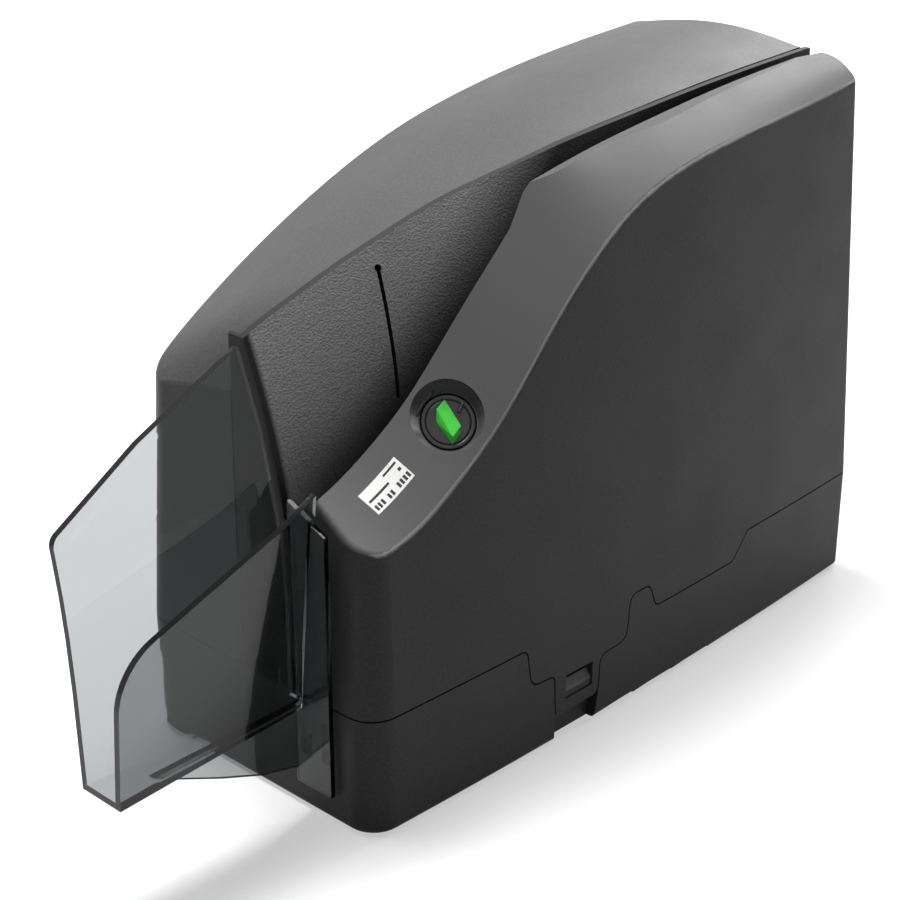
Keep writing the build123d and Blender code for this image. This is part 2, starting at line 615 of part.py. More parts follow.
def door_guide_wall():
    shape = near_track_side(GUIDE_T) - near_track_side()
    inside = prism(BASE_TOP + SEAM_GAP, CROWN_Z + OVER, WALL + FIT)
    inside = inside & under_skin(NEAR_STATIONS, NEAR_DROPS, SKIN_DROP * WALL + FIT) & under_ridge(WALL + FIT)
    wall = shape & inside
    for x in ROLLER_X.values():
        for z in TYRE_Z:
            wall -= block(x - IDLER_WINDOW / 2, x + IDLER_WINDOW / 2, -40, -10, z - TYRE_H / 2 - 1,
                          z + TYRE_H / 2 + 1)
    wall -= block(NEAR_SENSOR_X - SENSOR_W / 2 - FIT, NEAR_SENSOR_X + SENSOR_W / 2 + FIT, -40, -10,
                  SENSOR_Z - FIT, SENSOR_Z + SENSOR_H + FIT)
    wall -= block(HEAD_X - PAD_W / 2 - FIT, HEAD_X + PAD_W / 2 + FIT, -40, -10, HEAD_Z - FIT,
                  HEAD_Z + HEAD_H + FIT)
    wall -= sunk(-2, BORE_DEPTH + FIT, BORE_R + FIT)
    wall += knuckles() + arm_lugs()
    for x, z in DOOR_SCREWS:
        wall -= rod_y(x, -40, -10, z, SCREW_R)
        wall -= rod_y(x, near_wall_y(x, z) - SCREW_HEAD_T * 0.6, -10, z, SCREW_HEAD_R + 0.1)
    return wall


IDLER_WINDOW = 13.6
PAD_W = 12.0
KNUCKLE_BORE = POST_R + RUN
LUG_R = 3.0
LUG_T = 3.0
LUG_Z = (38.0, 100.0)
ARM_PIVOT_X = {"entry": ROLLER_X["entry"] + ARM_REACH, "exit": ROLLER_X["exit"] - ARM_REACH}
LUG_BACK_Y = NEAR_TRACK_Y - GUIDE_T


def knuckles():
    """Two hinge knuckles on the back of the guide wall, bored to turn on the post."""
    parts = []
    for z in KNUCKLE_Z:
        body = rod(HINGE_X, HINGE_Y, z, z + KNUCKLE_H, KNUCKLE_R)
        body += block(HINGE_X - 3, HINGE_X + 3, HINGE_Y, -27.2, z, z + KNUCKLE_H)
        parts.append(body - rod(HINGE_X, HINGE_Y, z - 1, z + KNUCKLE_H + 1, KNUCKLE_BORE))
    return parts[0] + parts[1]


def arm_lugs():
    """Lugs that hold the two pinch arms' pivot pins."""
    shape = None
    for x in ARM_PIVOT_X.values():
        for z in LUG_Z:
            lug = rod(x, IDLER_Y - LUG_DROP, z, z + LUG_T, LUG_R)
            lug += block(x - LUG_R, x + LUG_R, IDLER_Y - LUG_DROP, LUG_BACK_Y + 0.3, z, z + LUG_T)
            lug -= rod(x, IDLER_Y - LUG_DROP, z - 1, z + LUG_T + 1, ARM_PIN_R)
            shape = lug if shape is None else shape + lug
    return shape


LUG_DROP = 2.0             # the arms pivot this far behind the idlers' own line


# ---------------------------------------------------------------- drive train
SHAFT_BOTTOM = 19.0
SHAFT_TOP = BRACKET_TOP + BRACKET_T + 1.5
BRACKET_BACK_Y = 1.0
BRACKET_HALF = 11.0


def bracket_screw_spots(x):
    return [(x - 8.0, -3.0), (x + 8.0, -3.0)]


def motor_screw_spots():
    return [(MOTOR_X + sx * 14.0, MOTOR_Y + sy * 14.0) for sx in (-1, 1) for sy in (-1, 1)]


def all_deck_screws():
    spots = motor_screw_spots() + COVER_BOSSES + HOLDER_SCREWS + SENSOR_SCREWS
    for x in ROLLER_X.values():
        spots = spots + bracket_screw_spots(x)
    return spots


HOLDER_SCREWS = [(HEAD_X, -3.0)]
SENSOR_SCREWS = [(FAR_SENSOR_X, -3.0)]
BOARD_SCREWS = [(36.0, 0.0), (56.0, 39.0), (96.0, -1.0)]


def bracket(x):
    """Folded U bracket that carries one drive shaft between two bushes."""
    half = BRACKET_HALF
    y0 = SHAFT_Y - 5.5
    top = BRACKET_TOP
    lower = block(x - half, x + half, y0 + 2.0, BRACKET_BACK_Y, BASE_TOP, BASE_TOP + BRACKET_T)
    upper = block(x - half, x + half, y0 + 2.0, BRACKET_BACK_Y, top, top + BRACKET_T)
    back = block(x - half, x + half, BRACKET_BACK_Y - BRACKET_T, BRACKET_BACK_Y, BASE_TOP, top + BRACKET_T)
    shape = lower + upper + back
    folds = shape.edges().filter_by(Axis.X).filter_by(
        lambda e: abs(e.center().Y - BRACKET_BACK_Y) < 0.01 and not BASE_TOP + 1 < e.center().Z < top + 1)
    shape = fillet(folds, 1.2)
    shape -= rod(x, SHAFT_Y, BASE_TOP - 1, top + 5, BUSH_R - 1.0)
    for sx, sy in bracket_screw_spots(x):
        shape -= rod(sx, sy, BASE_TOP - 1, BASE_TOP + BRACKET_T + 1, SCREW_R)
    return shape


def bush(x, z0):
    """Flanged plain bush round a drive shaft, its spigot in the sheet."""
    body = rod(x, SHAFT_Y, z0, z0 + BUSH_T, BUSH_R - 1.0)
    body += rod(x, SHAFT_Y, z0 + BRACKET_T, z0 + BUSH_T, BUSH_R)
    return body - rod(x, SHAFT_Y, z0 - 1, z0 + BUSH_T + 1, SHAFT_R + RUN)


def shaft_bushes():
    return [bush(x, z) for x in ROLLER_X.values() for z in (BASE_TOP, BRACKET_TOP)]


def drive_shaft(x):
    shaft = rod(x, SHAFT_Y, SHAFT_BOTTOM, SHAFT_TOP, SHAFT_R)
    return chamfer(shaft.edges().filter_by(GeomType.CIRCLE), 0.4)


def tyres(x):
    """Ribbed rubber tyres on their hubs."""
    shapes = []
    for z in TYRE_Z:
        tyre = tube(x, SHAFT_Y, z - TYRE_H / 2, z + TYRE_H / 2, TYRE_R, SHAFT_R)
        shapes.append(fillet(tyre.edges().filter_by(GeomType.CIRCLE).filter_by(
            lambda e: abs(e.radius - TYRE_R) < 0.01), 0.8))
    return shapes


TOOTH_DEPTH = 1.2


def toothed_pulley(x, y, r, teeth, bore):
    """Belt pulley with two flanges and a ring of belt grooves."""
    flange = 0.7
    body = rod(x, y, PULLEY_Z, PULLEY_Z + PULLEY_H, r - BELT_T)
    body += rod(x, y, PULLEY_Z, PULLEY_Z + flange, r + 0.6)
    body += rod(x, y, PULLEY_Z + PULLEY_H - flange, PULLEY_Z + PULLEY_H, r + 0.6)
    for k in range(teeth):
        turn = 2 * pi * k / teeth
        body -= rod(x + (r - BELT_T) * cos(turn), y + (r - BELT_T) * sin(turn), PULLEY_Z + flange,
                    PULLEY_Z + PULLEY_H - flange, 0.4)
    return body - rod(x, y, PULLEY_Z - 1, PULLEY_Z + PULLEY_H + 1, bore)


DRIVE_TEETH = 24
MOTOR_TEETH = 16


def drive_pulley(x):
    return toothed_pulley(x, SHAFT_Y, PULLEY_R, DRIVE_TEETH, SHAFT_R)


def motor_pulley():
    return toothed_pulley(MOTOR_X, MOTOR_Y, MOTOR_PULLEY_R, MOTOR_TEETH, MOTOR_SHAFT_R)


def hull_face(circles):
    """Face inside a band stretched round circles given anticlockwise as (x, y, r)."""
    points = []
    count = len(circles)
    for k in range(count):
        xa, ya, ra = circles[k]
        xb, yb, rb = circles[(k + 1) % count]
        run = hypot(xb - xa, yb - ya)
        side = atan2(yb - ya, xb - xa) - pi / 2 + atan2(rb - ra, sqrt(run ** 2 - (rb - ra) ** 2)) * -1
        points.append(((xa + ra * cos(side), ya + ra * sin(side)), (xb + rb * cos(side), yb + rb * sin(side)), side))
    edges = []
    for k in range(count):
        start, end, side = points[k]
        edges.append(Line(start, end))
        x, y, r = circles[(k + 1) % count]
        onward = points[(k + 1) % count]
        swept = (onward[2] - side) % (2 * pi)
        middle = side + swept / 2
        edges.append(ThreePointArc(end, (x + r * cos(middle), y + r * sin(middle)), onward[0]))
    return make_face(edges)


def drive_belt():
    spots = [(ROLLER_X["exit"], SHAFT_Y, PULLEY_R), (ROLLER_X["entry"], SHAFT_Y, PULLEY_R),
             (MOTOR_X, MOTOR_Y, MOTOR_PULLEY_R)]
    z0 = PULLEY_Z + (PULLEY_H - BELT_H) / 2 + BELT_PLAY
    height = BELT_H - 2 * BELT_PLAY
    outer = extrude(Pos(0, 0, z0) * hull_face([(x, y, r + 0.1) for x, y, r in spots]), amount=height)
    inner = extrude(Pos(0, 0, z0 - 1) * hull_face([(x, y, r - BELT_T + 0.3) for x, y, r in spots]),
                    amount=height + 2)
    return outer - inner


BELT_PLAY = 0.4


def motor_body():
    z0 = BASE_TOP
    half = MOTOR_W / 2
    body = block(MOTOR_X - half, MOTOR_X + half, MOTOR_Y - half, MOTOR_Y + half, z0, z0 + MOTOR_H)
    body = chamfer(body.edges().filter_by(Axis.Z), 4.0)
    body -= rod(MOTOR_X, MOTOR_Y, z0 - 1, z0 + MOTOR_H - 6, MOTOR_SHAFT_R + RUN)
    for x, y in motor_screw_spots():
        body -= rod(x, y, z0 - 1, z0 + SCREW_LENGTH, SCREW_R)
    return body


def motor_shaft():
    return rod(MOTOR_X, MOTOR_Y, SHAFT_BOTTOM, BASE_TOP + MOTOR_H - 7, MOTOR_SHAFT_R)


def bracket_screws():
    z = BASE_TOP + BRACKET_T
    spots = [spot for x in ROLLER_X.values() for spot in bracket_screw_spots(x)]
    return [screw(x, y, z, BRACKET_T + DECK_T - 0.2, up=False) for x, y in spots + HOLDER_SCREWS + SENSOR_SCREWS]


# ---------------------------------------------------------------- readers
def magnet_bar():
    y0 = TRACK_Y + GUIDE_T + 0.1
    return block(MAGNET_X - 4, MAGNET_X + 4, y0, y0 + 6, BASE_TOP, 70.0)


def reading_head():
    y0 = TRACK_Y - HEAD_PROUD
    body = block(HEAD_X - HEAD_W / 2, HEAD_X + HEAD_W / 2, y0, y0 + 12, HEAD_Z, HEAD_Z + HEAD_H)
    nose = body.edges().filter_by(Axis.Z).group_by(Axis.Y)[0]
    return fillet(nose, 3.0)


def head_holder():
    y0 = TRACK_Y - HEAD_PROUD + 12
    post = block(HEAD_X - 6, HEAD_X + 6, y0, y0 + BRACKET_T, BASE_TOP, HEAD_Z + HEAD_H)
    foot = block(HEAD_X - 6, HEAD_X + 6, y0, 1.0, BASE_TOP, BASE_TOP + BRACKET_T)
    for x, y in HOLDER_SCREWS:
        foot -= rod(x, y, BASE_TOP - 1, BASE_TOP + 5, SCREW_R)
    return post + foot


def far_image_sensor():
    y0 = TRACK_Y + 0.2 + GLASS_T
    half = SENSOR_W / 2
    body = block(FAR_SENSOR_X - half, FAR_SENSOR_X + half, y0, y0 + SENSOR_D, SENSOR_Z, SENSOR_Z + SENSOR_H)
    behind_wall = TRACK_Y + GUIDE_T + 0.1
    body += block(FAR_SENSOR_X - half, FAR_SENSOR_X + half, behind_wall, y0 + SENSOR_D, BASE_TOP, SENSOR_Z)
    foot = block(FAR_SENSOR_X - half, FAR_SENSOR_X + half, behind_wall, 1.0, BASE_TOP, BASE_TOP + BRACKET_T)
    for x, y in SENSOR_SCREWS:
        foot -= rod(x, y, BASE_TOP - 1, BASE_TOP + 5, SCREW_R)
    return body + foot


def far_sensor_glass():
    y0 = TRACK_Y + 0.2
    half = SENSOR_W / 2
    return block(FAR_SENSOR_X - half, FAR_SENSOR_X + half, y0, y0 + GLASS_T, SENSOR_Z, SENSOR_Z + SENSOR_H)


def near_image_sensor():
    y1 = NEAR_TRACK_Y - 0.2 - GLASS_T
    half = SENSOR_W / 2
    body = block(NEAR_SENSOR_X - half, NEAR_SENSOR_X + half, y1 - SENSOR_D, y1, SENSOR_Z, SENSOR_Z + SENSOR_H)
    lips = block(NEAR_SENSOR_X - half - 2, NEAR_SENSOR_X + half + 2, y1 - 4, LUG_BACK_Y, SENSOR_Z,
                 SENSOR_Z + SENSOR_H)
    return body + lips


def near_sensor_glass():
    y1 = NEAR_TRACK_Y - 0.2
    half = SENSOR_W / 2
    return block(NEAR_SENSOR_X - half, NEAR_SENSOR_X + half, y1 - GLASS_T, y1, SENSOR_Z, SENSOR_Z + SENSOR_H)


def entry_light_sensor():
    y0 = TRACK_Y + 0.3
    return rod_y(EYE_X, y0, y0 + 6, EYE_Z, EYE_R) + block(EYE_X - 4, EYE_X + 4, TRACK_Y + GUIDE_T + 0.1,
                                                        TRACK_Y + GUIDE_T + 6, BASE_TOP, EYE_Z + 5)


# ---------------------------------------------------------------- boards and sockets
BOARD_X = (30.0, X_REAR - WALL - 0.5)
BOARD_Y = (-5.0, 45.0)


def main_board():
    board = block(*BOARD_X, *BOARD_Y, BOARD_Z, BOARD_Z + BOARD_T)
    for x, y in BOARD_SCREWS:
        board -= rod(x, y, BOARD_Z - 1, BOARD_Z + 5, SCREW_R)
    for x, y in BASE_SCREWS:
        board -= rod(x, y, BOARD_Z - 1, BOARD_Z + 5, SCREW_BOSS_R + 0.5)
    return board


def board_screws():
    return [screw(x, y, BOARD_Z, SCREW_LENGTH) for x, y in BOARD_SCREWS]


def board_chips():
    z = BOARD_Z
    spots = ((48.0, 10.0, 7.0), (66.0, 8.0, 5.0), (60.0, 30.0, 4.0))
    return [block(x - w, x + w, y - w, y + w, z - 1.4, z) for x, y, w in spots]


def board_capacitors():
    z = BOARD_Z + BOARD_T
    return [rod(x, y, z, z + 9.0, 3.2) for x, y in ((92.0, 42.0), (84.0, 24.0), (92.0, 24.0))]


def usb_socket():
    length, width, height = USB_SIZE
    x1 = X_REAR - 0.4
    shell = block(x1 - length, x1, USB_Y - width / 2, USB_Y + width / 2, SOCKET_Z, SOCKET_Z + height)
    hollow = block(x1 - length + 3, x1 + 1, USB_Y - 4.3, USB_Y + 4.3, SOCKET_Z + 1.4, SOCKET_Z + height - 1.4)
    tongue = block(x1 - length + 3, x1 - 3, USB_Y - 2.8, USB_Y + 2.8, SOCKET_Z + 4.0, SOCKET_Z + 7.0)
    return shell - hollow + tongue


def power_jack():
    length, width, height = JACK_SIZE
    x1 = X_REAR - 0.4
    z = SOCKET_Z + height / 2
    shell = block(x1 - length, x1, JACK_Y - width / 2, JACK_Y + width / 2, SOCKET_Z, SOCKET_Z + height)
    return shell - rod_x(x1 - length + 3, x1 + 1, JACK_Y, z, 3.2) + rod_x(x1 - length + 2, x1 - 4, JACK_Y, z, 1.0)


# ---------------------------------------------------------------- hinge and latch
def hinge_post():
    post = rod(HINGE_X, HINGE_Y, POST_FOOT_Z, POST_TOP, POST_R)
    return chamfer(post.edges().filter_by(GeomType.CIRCLE), 0.4)


def post_clip():
    z = KNUCKLE_Z[1] + KNUCKLE_H + 0.3
    ring = tube(HINGE_X, HINGE_Y, z, z + 1.2, POST_R + 1.6, POST_R)
    return ring - block(HINGE_X - 0.9, HINGE_X + 0.9, HINGE_Y, HINGE_Y + 10, z - 1, z + 3)


def latch_keeper():
    x0, x1 = LATCH_X - 9.0, LATCH_X + 9.0
    plate = block(x0, x1, -43.0, -41.2, 3.6, 10.5)
    return plate & extrude(plan_face(0, NEAR_THICK), amount=30)


def latch_slider():
    half = LATCH_W / 2
    x0, x1 = LATCH_X - half, LATCH_X + half
    slider = block(x0, x1, LATCH_Y0, LATCH_Y1, 11.2, 22.0)
    pad_x0, pad_x1 = TONGUE_WINDOW[0] + 0.25, TONGUE_WINDOW[1] - 0.25
    profile = [(-44.5, 13.3), (-47.4, 13.3), (-47.4, 15.3), (-45.6, 18.2), (-44.5, 18.2)]
    pad = extrude(flat([(pad_x0, y, z) for y, z in profile]), amount=pad_x1 - pad_x0, dir=(1, 0, 0))
    arm = block(x0 + 1, x1 - 1, LATCH_Y1 - 1, -38.9, 11.2, 13.4)
    hook = block(x0 + 1, x1 - 1, -40.7, -38.9, 8.3, 13.4)
    return slider + pad + arm + hook


LATCH_SPRING_Z = 22.0
SPRING_WIRE_R = 0.3
SPRING_SWAY = 2.2
SPRING_LEGS = 6
SPRING_END = 0.9           # straight run at each end


def latch_spring():
    """Zigzag wire spring between the slider and the ledge above it."""
    low, high = LATCH_SPRING_Z + SPRING_END, LEDGE_Z - SPRING_END
    step = (high - low) / SPRING_LEGS
    spots = [(LATCH_X, LATCH_SPRING_Z), (LATCH_X, low)]
    for k in range(SPRING_LEGS):
        x = LATCH_X + SPRING_SWAY * (-1) ** k
        spots += [(x, low + step * k), (x, low + step * (k + 1))]
    spots += [(LATCH_X, high), (LATCH_X, LEDGE_Z)]
    bend = Plane.XZ.offset(-(LATCH_Y0 + LATCH_Y1) / 2) * FilletPolyline(*spots, radius=step * 0.48)
    section = Plane(origin=bend @ 0, z_dir=bend % 0) * Circle(SPRING_WIRE_R)
    return sweep(section, path=bend)


# ---------------------------------------------------------------- pinch rollers on the door
ARM_T = 1.5
ARM_END_R = 2.4
ARM_Z = (LUG_Z[0] + LUG_T + 0.3, LUG_Z[1] - 0.3 - ARM_T)
WEB_Y = IDLER_Y - IDLER_R - 1.3


def pinch_arm(end):
    """Folded arm: two flanges joined by a web behind the rollers, hinged at its outer end."""
    pivot_x = ARM_PIVOT_X[end]
    roller_x = ROLLER_X[end]
    x0, x1 = sorted((pivot_x, roller_x))
    pivot_y = IDLER_Y - LUG_DROP
    arm = None
    for z in ARM_Z:
        flange = rod(pivot_x, pivot_y, z, z + ARM_T, 3.0) + rod(roller_x, IDLER_Y, z, z + ARM_T, ARM_END_R)
        flange += block(x0, x1, WEB_Y - 1.2, IDLER_Y - 1.0, z, z + ARM_T)
        arm = flange if arm is None else arm + flange
    web = block(roller_x - 4, roller_x + 4, WEB_Y - 1.2, WEB_Y, ARM_Z[0], ARM_Z[1] + ARM_T)
    arm += web
    arm -= rod(pivot_x, pivot_y, ARM_Z[0] - 1, ARM_Z[1] + 3, ARM_PIN_R + RUN)
    return arm - rod(roller_x, IDLER_Y, ARM_Z[0] - 1, ARM_Z[1] + 3, IDLER_PIN_R)


def arm_pins():
    y = IDLER_Y - LUG_DROP
    return [rod(x, y, LUG_Z[0] + 0.3, LUG_Z[1] + LUG_T, ARM_PIN_R) for x in ARM_PIVOT_X.values()]


def idler_pin(end):
    return rod(ROLLER_X[end], IDLER_Y, ARM_Z[0], ARM_Z[1] + ARM_T, IDLER_PIN_R)


def idlers(end):
    return [tube(ROLLER_X[end], IDLER_Y, z - TYRE_H / 2, z + TYRE_H / 2, IDLER_R, IDLER_PIN_R + RUN) for z in TYRE_Z]


def pinch_springs():
    y = IDLER_Y - LUG_DROP
    return [tube(x, y, 62.0, 78.0, 2.6, ARM_PIN_R) for x in ARM_PIVOT_X.values()]


def pad_spring():
    y = NEAR_TRACK_Y - GUIDE_T
    strip = block(HEAD_X - PAD_W / 2 - 5, HEAD_X + PAD_W / 2 + 5, y - 0.7, y - 0.2, HEAD_Z + 1, HEAD_Z + HEAD_H - 1)
    ends = block(HEAD_X - PAD_W / 2 - 5, HEAD_X - PAD_W / 2 - 1.5, y - 0.7, y, HEAD_Z + 1, HEAD_Z + HEAD_H - 1)
    ends += block(HEAD_X + PAD_W / 2 + 1.5, HEAD_X + PAD_W / 2 + 5, y - 0.7, y, HEAD_Z + 1, HEAD_Z + HEAD_H - 1)
    return strip + ends


def pressure_pad():
    back = NEAR_TRACK_Y - GUIDE_T - 0.2
    face = TRACK_Y - HEAD_PROUD - PAD_GAP
    half = PAD_W / 2
    pad = block(HEAD_X - half, HEAD_X + half, back, face, HEAD_Z, HEAD_Z + HEAD_H)
    return fillet(pad.edges().filter_by(Axis.Z).group_by(Axis.Y)[-1], 0.8)


PAD_GAP = 0.5


def door_screws():
    shapes = []
    for x, z in DOOR_SCREWS:
        y = near_wall_y(x, z) - SCREW_HEAD_T * 0.6
        shank = rod_y(x, y - SCREW_LENGTH, y, z, SCREW_R)
        head = rod_y(x, y, y + SCREW_HEAD_T * 0.5, z, SCREW_HEAD_R)
        shapes.append(shank + head)
    return shapes


def deck_screws():
    """Screws driven up through the deck into the motor and the far cover's bosses."""
    return [screw(x, y, DECK_Z, SCREW_LENGTH - 0.5) for x, y in motor_screw_spots() + COVER_BOSSES]


# ---------------------------------------------------------------- start button
def button_disc():
    disc = sunk(DISC_TOP, DISC_TOP + DISC_T, DISC_R)
    rim = disc.edges().filter_by(GeomType.CIRCLE).sort_by(Axis.Z)[-1]
    disc = fillet(rim, 0.4)
    disc += sunk(DISC_TOP + 0.5, STEM_END, STEM_R)
    disc += sunk(CUP_DEPTH + 0.3, STEM_END, STEM_R + 0.9)
    return disc - lens_pocket()


LENS_CORNERS = ((-0.35, 6.2), (-2.9, 3.6), (-3.2, 0.2), (0.45, -6.3), (2.95, -3.5), (3.2, -1.4))
LENS_SUNK = 0.5
LENS_PROUD = 0.9
LENS_SLOPE = 30            # degrees by which its sides lean in


def lens_face():
    return make_face(Polyline(*LENS_CORNERS, close=True))


def lens_pocket():
    return extrude(button_place() * Pos(0, 0, -DISC_TOP - LENS_SUNK) * lens_face(), amount=3)


def button_lens():
    """Green crystal with sides that lean in, seated in the disc."""
    crystal = extrude(lens_face(), amount=LENS_SUNK)
    crystal += Pos(0, 0, LENS_SUNK) * extrude(lens_face(), amount=LENS_PROUD, taper=LENS_SLOPE)
    return button_place() * Pos(0, 0, -DISC_TOP - LENS_SUNK) * crystal


def button_spring():
    """Coned washer under the disc."""
    top = DISC_TOP + DISC_T
    return sunk(top + 0.05, BORE_DEPTH - 0.05, 4.0, 5.8) - sunk(top - 1, BORE_DEPTH + 1, 3.4, 5.2)


PLUNGER_TOP = STEM_END + BUTTON_TRAVEL + 0.05
PLUNGER_H = 0.7
SWITCH_H = 1.5
SWITCH_W = 4.2
SWITCH_BASE = PLUNGER_TOP + PLUNGER_H + SWITCH_H


def button_switch():
    middle = PLUNGER_TOP + PLUNGER_H + SWITCH_H / 2
    case = button_place() * Pos(0.6, -0.6, -middle) * Box(SWITCH_W, SWITCH_W, SWITCH_H)
    return case + sunk(PLUNGER_TOP, PLUNGER_TOP + PLUNGER_H + 0.2, 1.5)


def button_board():
    return button_place() * Pos(3.5, -3.2, -(SWITCH_BASE + 0.5)) * Box(10.0, 7.0, 1.0)


def status_light():
    return button_place() * Pos(6.0, -2.0, -(SWITCH_BASE - 0.8)) * Box(2.0, 2.0, 1.6)


# ---------------------------------------------------------------- pictogram and tray
LABEL_T = 0.1
LABEL_CORNERS = ((-104.35, -30.75), (-91.4, -31.05), (-89.2, -36.55), (-102.46, -36.4))


def pictogram_label():
    """Thin sticker on the sloping band, beside the button."""
    skin = under_skin(NEAR_STATIONS, NEAR_DROPS, -LABEL_T) - under_skin(NEAR_STATIONS, NEAR_DROPS)
    return skin & extrude(Pos(0, 0, 60) * make_face(Polyline(*LABEL_CORNERS, close=True)), amount=80)


TRAY_X0 = X_FRONT - TRAY_REACH
TRAY_X1 = X_FRONT - TRAY_GAP
TRAY_FLANGE_T = 1.5
TRAY_FAR_END = ((-11.0, TRAY_FLOOR_Z), (-8.4, 60.0), (-6.4, 74.0), (-4.6, 84.0), (-2.6, 93.0), (1.0, 108.0))
TRAY_FAR_OUTLINE = ((-110.0, 134.4), (-150.0, 115.2), (-178.2, 98.7), (TRAY_X0, TRAY_FLOOR_Z))
TRAY_FAR_CORNER = (2, 4.0)     # which corner of the outline is rounded, and how much
TRAY_NEAR_FRONT = ((-18.5, TRAY_FLOOR_Z), (-26.0, 105.0))
TRAY_NEAR_END = ((-22.2, TRAY_FLOOR_Z), (-27.0, 105.0))
TRAY_NEAR_OUTLINE = ((-110.0, 101.6), (-126.0, 92.8), (-141.0, 87.4), (-180.3, 73.4), (TRAY_X0, TRAY_FLOOR_Z))
TRAY_NEAR_CORNER = (3, 18.0)
TRAY_RIB = ((TRAY_X1, 13.8), (-129.7, 17.3), (-144.2, 23.2), (-157.3, 29.2), (-167.0, TRAY_FLOOR_Z),
            (TRAY_X1, TRAY_FLOOR_Z))
TRAY_RIB_Y = (-18.5, -16.5)
TRAY_FLANGE = ((-17.5, 9.5), (-31.2, 9.5), (-31.2, 88.0), (-17.5, 94.5))


def exit_tray():
    """Clear V-shaped tray, open at its end: floor, two upright plates, flange, rib and hooks."""
    floor = loft([tray_floor_section(TRAY_X1), tray_floor_section(TRAY_X0)], ruled=True)
    far = loft([leaf(TRAY_X1, far_wall_curve(X_FRONT), 1), leaf(TRAY_X0, TRAY_FAR_END, 1)], ruled=True)
    near = loft([leaf(TRAY_X1, TRAY_NEAR_FRONT, -1), leaf(TRAY_X0, TRAY_NEAR_END, -1)], ruled=True)
    tray = floor + (far & outlined(TRAY_FAR_OUTLINE, *TRAY_FAR_CORNER))
    tray += near & outlined(TRAY_NEAR_OUTLINE, *TRAY_NEAR_CORNER)
    return tray + tray_flange() + tray_rib() + tray_hooks()


def far_wall_curve(x):
    """Track face of the far guide wall at x, as six (depth, height) points above the tray floor."""
    foot = far_foot_y(x)
    swing = ridge_y(x) - foot
    rise = curl_height(x)
    start = ridge_z(x) - rise
    return [(foot, TRAY_FLOOR_Z)] + [(foot + swing * share, start + rise * t) for t, share in CURL]


def outlined(outline, corner, r):
    """Upright column of a side outline that drops straight to the table, one corner rounded."""
    ring = outline + ((outline[-1][0], 0.0), (outline[0][0], 0.0))
    face = make_face(Polyline(*ring, close=True))
    spot = face.vertices().sort_by_distance((*outline[corner], 0))[0]
    return extrude(Plane.XZ * fillet(spot, r), amount=60, both=True)


def tray_floor_section(x):
    """Floor of the tray at x, its sides buried half a plate deep."""
    share = (TRAY_X1 - x) / (TRAY_X1 - TRAY_X0)
    y0 = between([(0, TRAY_NEAR_FRONT[0][0]), (1, TRAY_NEAR_END[0][0])], share) - TRAY_T / 2
    y1 = between([(0, far_foot_y(X_FRONT)), (1, TRAY_FAR_END[0][0])], share) + TRAY_T / 2
    z = TRAY_FLOOR_Z
    return flat([(x, y0, z), (x, y1, z), (x, y1, z + TRAY_T), (x, y0, z + TRAY_T)])


def leaf(x, points, side):
    """Upright plate section through (y, z) points, thickened by the tray wall to one side."""
    outer = [(x, y + side * TRAY_T, z) for y, z in points]
    return flat([(x, y, z) for y, z in points] + outer[::-1])


def tray_flange():
    """Plate against the body's front face, its top sloping."""
    face = flat([(TRAY_X1 - TRAY_FLANGE_T, y, z) for y, z in TRAY_FLANGE])
    return extrude(face, amount=TRAY_FLANGE_T, dir=(1, 0, 0))


def tray_rib():
    """Sickle rib under the floor."""
    y0, y1 = TRAY_RIB_Y
    return extrude(flat([(x, y1, z) for x, z in TRAY_RIB]), amount=y1 - y0, dir=(0, -1, 0))


def tray_hooks():
    """Hooks that reach through the slots of the base and hang behind its wall."""
    inner = X_FRONT + WALL + 0.4
    low, high = HOOK_SLOT_Z
    hooks = None
    for y0, y1 in HOOK_SLOT_Y:
        hook = block(TRAY_X1 - 0.5, inner + HOOK_T, y0, y1, low, high)
        hook += block(inner, inner + HOOK_T, y0, y1, low - HOOK_DROP, high)
        hooks = hook if hooks is None else hooks + hook
    return hooks


HOOK_T = 1.6
HOOK_DROP = 4.0


